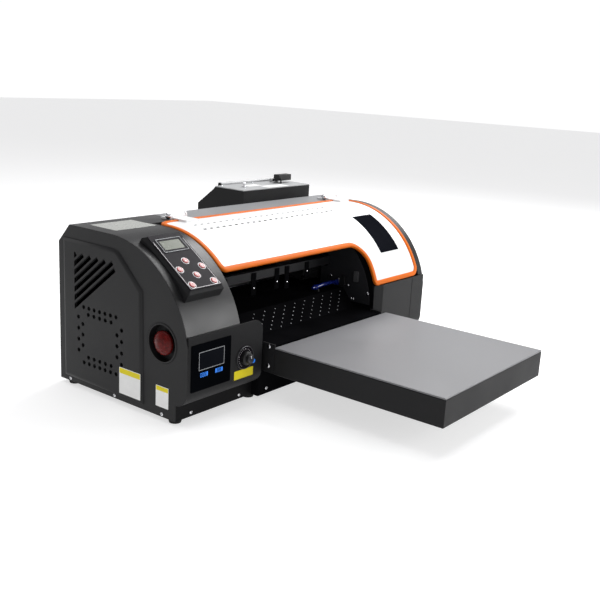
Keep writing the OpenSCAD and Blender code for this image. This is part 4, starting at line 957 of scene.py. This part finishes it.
# ---------------------------------------------------------------- screws and feet
def screw_heads():
    bm = bmesh.new()
    slots = bmesh.new()
    spots = []
    for side, out in ((0.0, -1), (CASE_W, 1)):
        spots += [((side, y, FOOT_H + 5.5), (out, 0, 0), 3.4) for y in (33, 160, 289)]
    spots += [((x, 0, FOOT_H + 8), (0, -1, 0), 3.4) for x in (38.7, 164.5, CASE_W - 164.5, CASE_W - 38.7)]
    panel_y = local("lower_front_panel")[0].y
    spots += [((x, panel_y, FOOT_H + 11), (0, -1, 0), 3.4) for x in (223, 547)]
    tray = local("platform_tray")
    arms = local("platform_arms")
    for x, out in ((arms[0].x, -1), (arms[1].x, 1)):
        spots += [((x, -32, z), (out, 0, 0), 4.0) for z in (tray[0].z + 14, tray[1].z + 2)]
    for at, axis, r in spots:
        screw_head(bm, at, axis, r)
        out = Vector(axis)
        side = Vector((0, 0, 1))
        other = out.cross(side)
        # The two thin dark boxes that cross each head stand just through its dome: painted shade for the
        # screw's cross recess.
        for a, b in ((side, other), (other, side)):
            reach = Vector(at) + out * 1.6
            corner = a * (r * 0.52) + b * (r * 0.12) + out * 0.28
            p, q = reach - corner, reach + corner
            low_corner = tuple(min(p[i], q[i]) for i in range(3))
            high_corner = tuple(max(p[i], q[i]) for i in range(3))
            rounded_box(slots, low_corner, high_corner, 0.1, 1)
    piece("round_head_screws", from_bmesh(bm, "round_head_screws"), "bright", "case_screws", replaces=True)
    piece("screw_recess_shade", from_bmesh(slots, "screw_recess_shade"), "inner_black", "case_screws")


def rubber_feet():
    bm = bmesh.new()
    foot = [(0, 0), (9.6, 0), (10.8, 0.5), (11.2, 1.6), (11.9, 6.2), (11.4, 6.8), (11.4, 8), (0, 8)]
    spots = [(15, 15), (15, CASE_D - 25), (CASE_W - 15, 15), (CASE_W - 15, CASE_D - 25), (203, 12),
             (567, 12)]
    for x, y in spots:
        lathe(bm, foot, (x, y, 0), (0, 0, 1), 40)
    piece("rubber_feet", from_bmesh(bm, "rubber_feet"), "rubber", "feet", replaces=True)


screw_heads()
rubber_feet()


# ---------------------------------------------------------------- camera, floor, light
def camera():
    spot = P(-985.50, -1024.33, 601.75)
    yaw, pitch, roll = math.radians(-52.22283), math.radians(-14.45335), math.radians(3.07682)
    rise = -pitch
    back = Vector((math.sin(yaw) * math.cos(rise), -math.cos(yaw) * math.cos(rise), math.sin(rise)))
    ahead = -back
    right = ahead.cross(Vector((0, 0, 1))).normalized()
    up = right.cross(ahead)
    right_rolled = right * math.cos(roll) + up * math.sin(roll)
    up_rolled = up * math.cos(roll) - right * math.sin(roll)
    cam = bpy.data.cameras.new("camera")
    cam.sensor_width = 36.0
    cam.lens = 868.603 / 600 * 36.0
    obj = bpy.data.objects.new("camera", cam)
    bpy.context.scene.collection.objects.link(obj)
    turn = Matrix((right_rolled, up_rolled, back)).transposed().to_4x4()
    obj.matrix_world = Matrix.Translation(spot) @ turn
    bpy.context.scene.camera = obj


def floor_and_light():
    bm = bmesh.new()
    bmesh.ops.create_grid(bm, x_segments=1, y_segments=1, size=12.0)
    floor = bpy.data.objects.new("studio_floor", from_bmesh(bm, "studio_floor"))
    bpy.context.scene.collection.objects.link(floor)
    mat, tree, shader = nodes_of("pale_floor")
    grain = noise(tree, 3, 3.0)
    paper = blend_colour(tree, band(tree, grain, 0.3, 0.7, 0, 1), (0.54, 0.54, 0.54), (0.56, 0.56, 0.56))
    tree.links.new(paper, shader.inputs["Base Color"])
    shader.inputs["Roughness"].default_value = 0.85
    shader.inputs["Emission Color"].default_value = (1, 1, 1, 1)
    shader.inputs["Emission Strength"].default_value = 0.62
    dress(floor, mat)
    floor.location.z = -0.0005
    world = bpy.data.worlds.new("studio")
    world.use_nodes = True
    tree = world.node_tree
    aim = add(tree, "TexCoord")
    split = add(tree, "SeparateXYZ")
    tree.links.new(aim.outputs["Generated"], split.inputs[0])
    height = band(tree, split.outputs["Z"], 0.10, 0.32, 0, 1)
    sky = blend_colour(tree, height, (1.02, 1.02, 1.02), (0.30, 0.30, 0.31))
    tree.links.new(sky, tree.nodes["Background"].inputs[0])
    bpy.context.scene.world = world
    bpy.context.scene.view_settings.view_transform = "Standard"
    for name, at, size, power in (("top_soft", (0.1, 0.3, 2.4), (2.4, 2.4), 34),
                                  ("right_soft", (1.9, 0.15, 1.95), (1.9, 1.25), 66),
                                  ("low_right_soft", (1.4, -1.85, 0.8), (0.9, 0.9), 26),
                                  ("front_soft", (-1.0, -2.6, 2.2), (2.0, 2.0), 4)):
        lamp = bpy.data.lights.new(name, "AREA")
        lamp.energy = power
        lamp.shape = "RECTANGLE"
        lamp.size, lamp.size_y = size
        obj = bpy.data.objects.new(name, lamp)
        bpy.context.scene.collection.objects.link(obj)
        obj.location = at
        aim = Vector((0, 0, 0.15)) - Vector(at)
        obj.rotation_euler = aim.to_track_quat("-Z", "Y").to_euler()


camera()
floor_and_light()
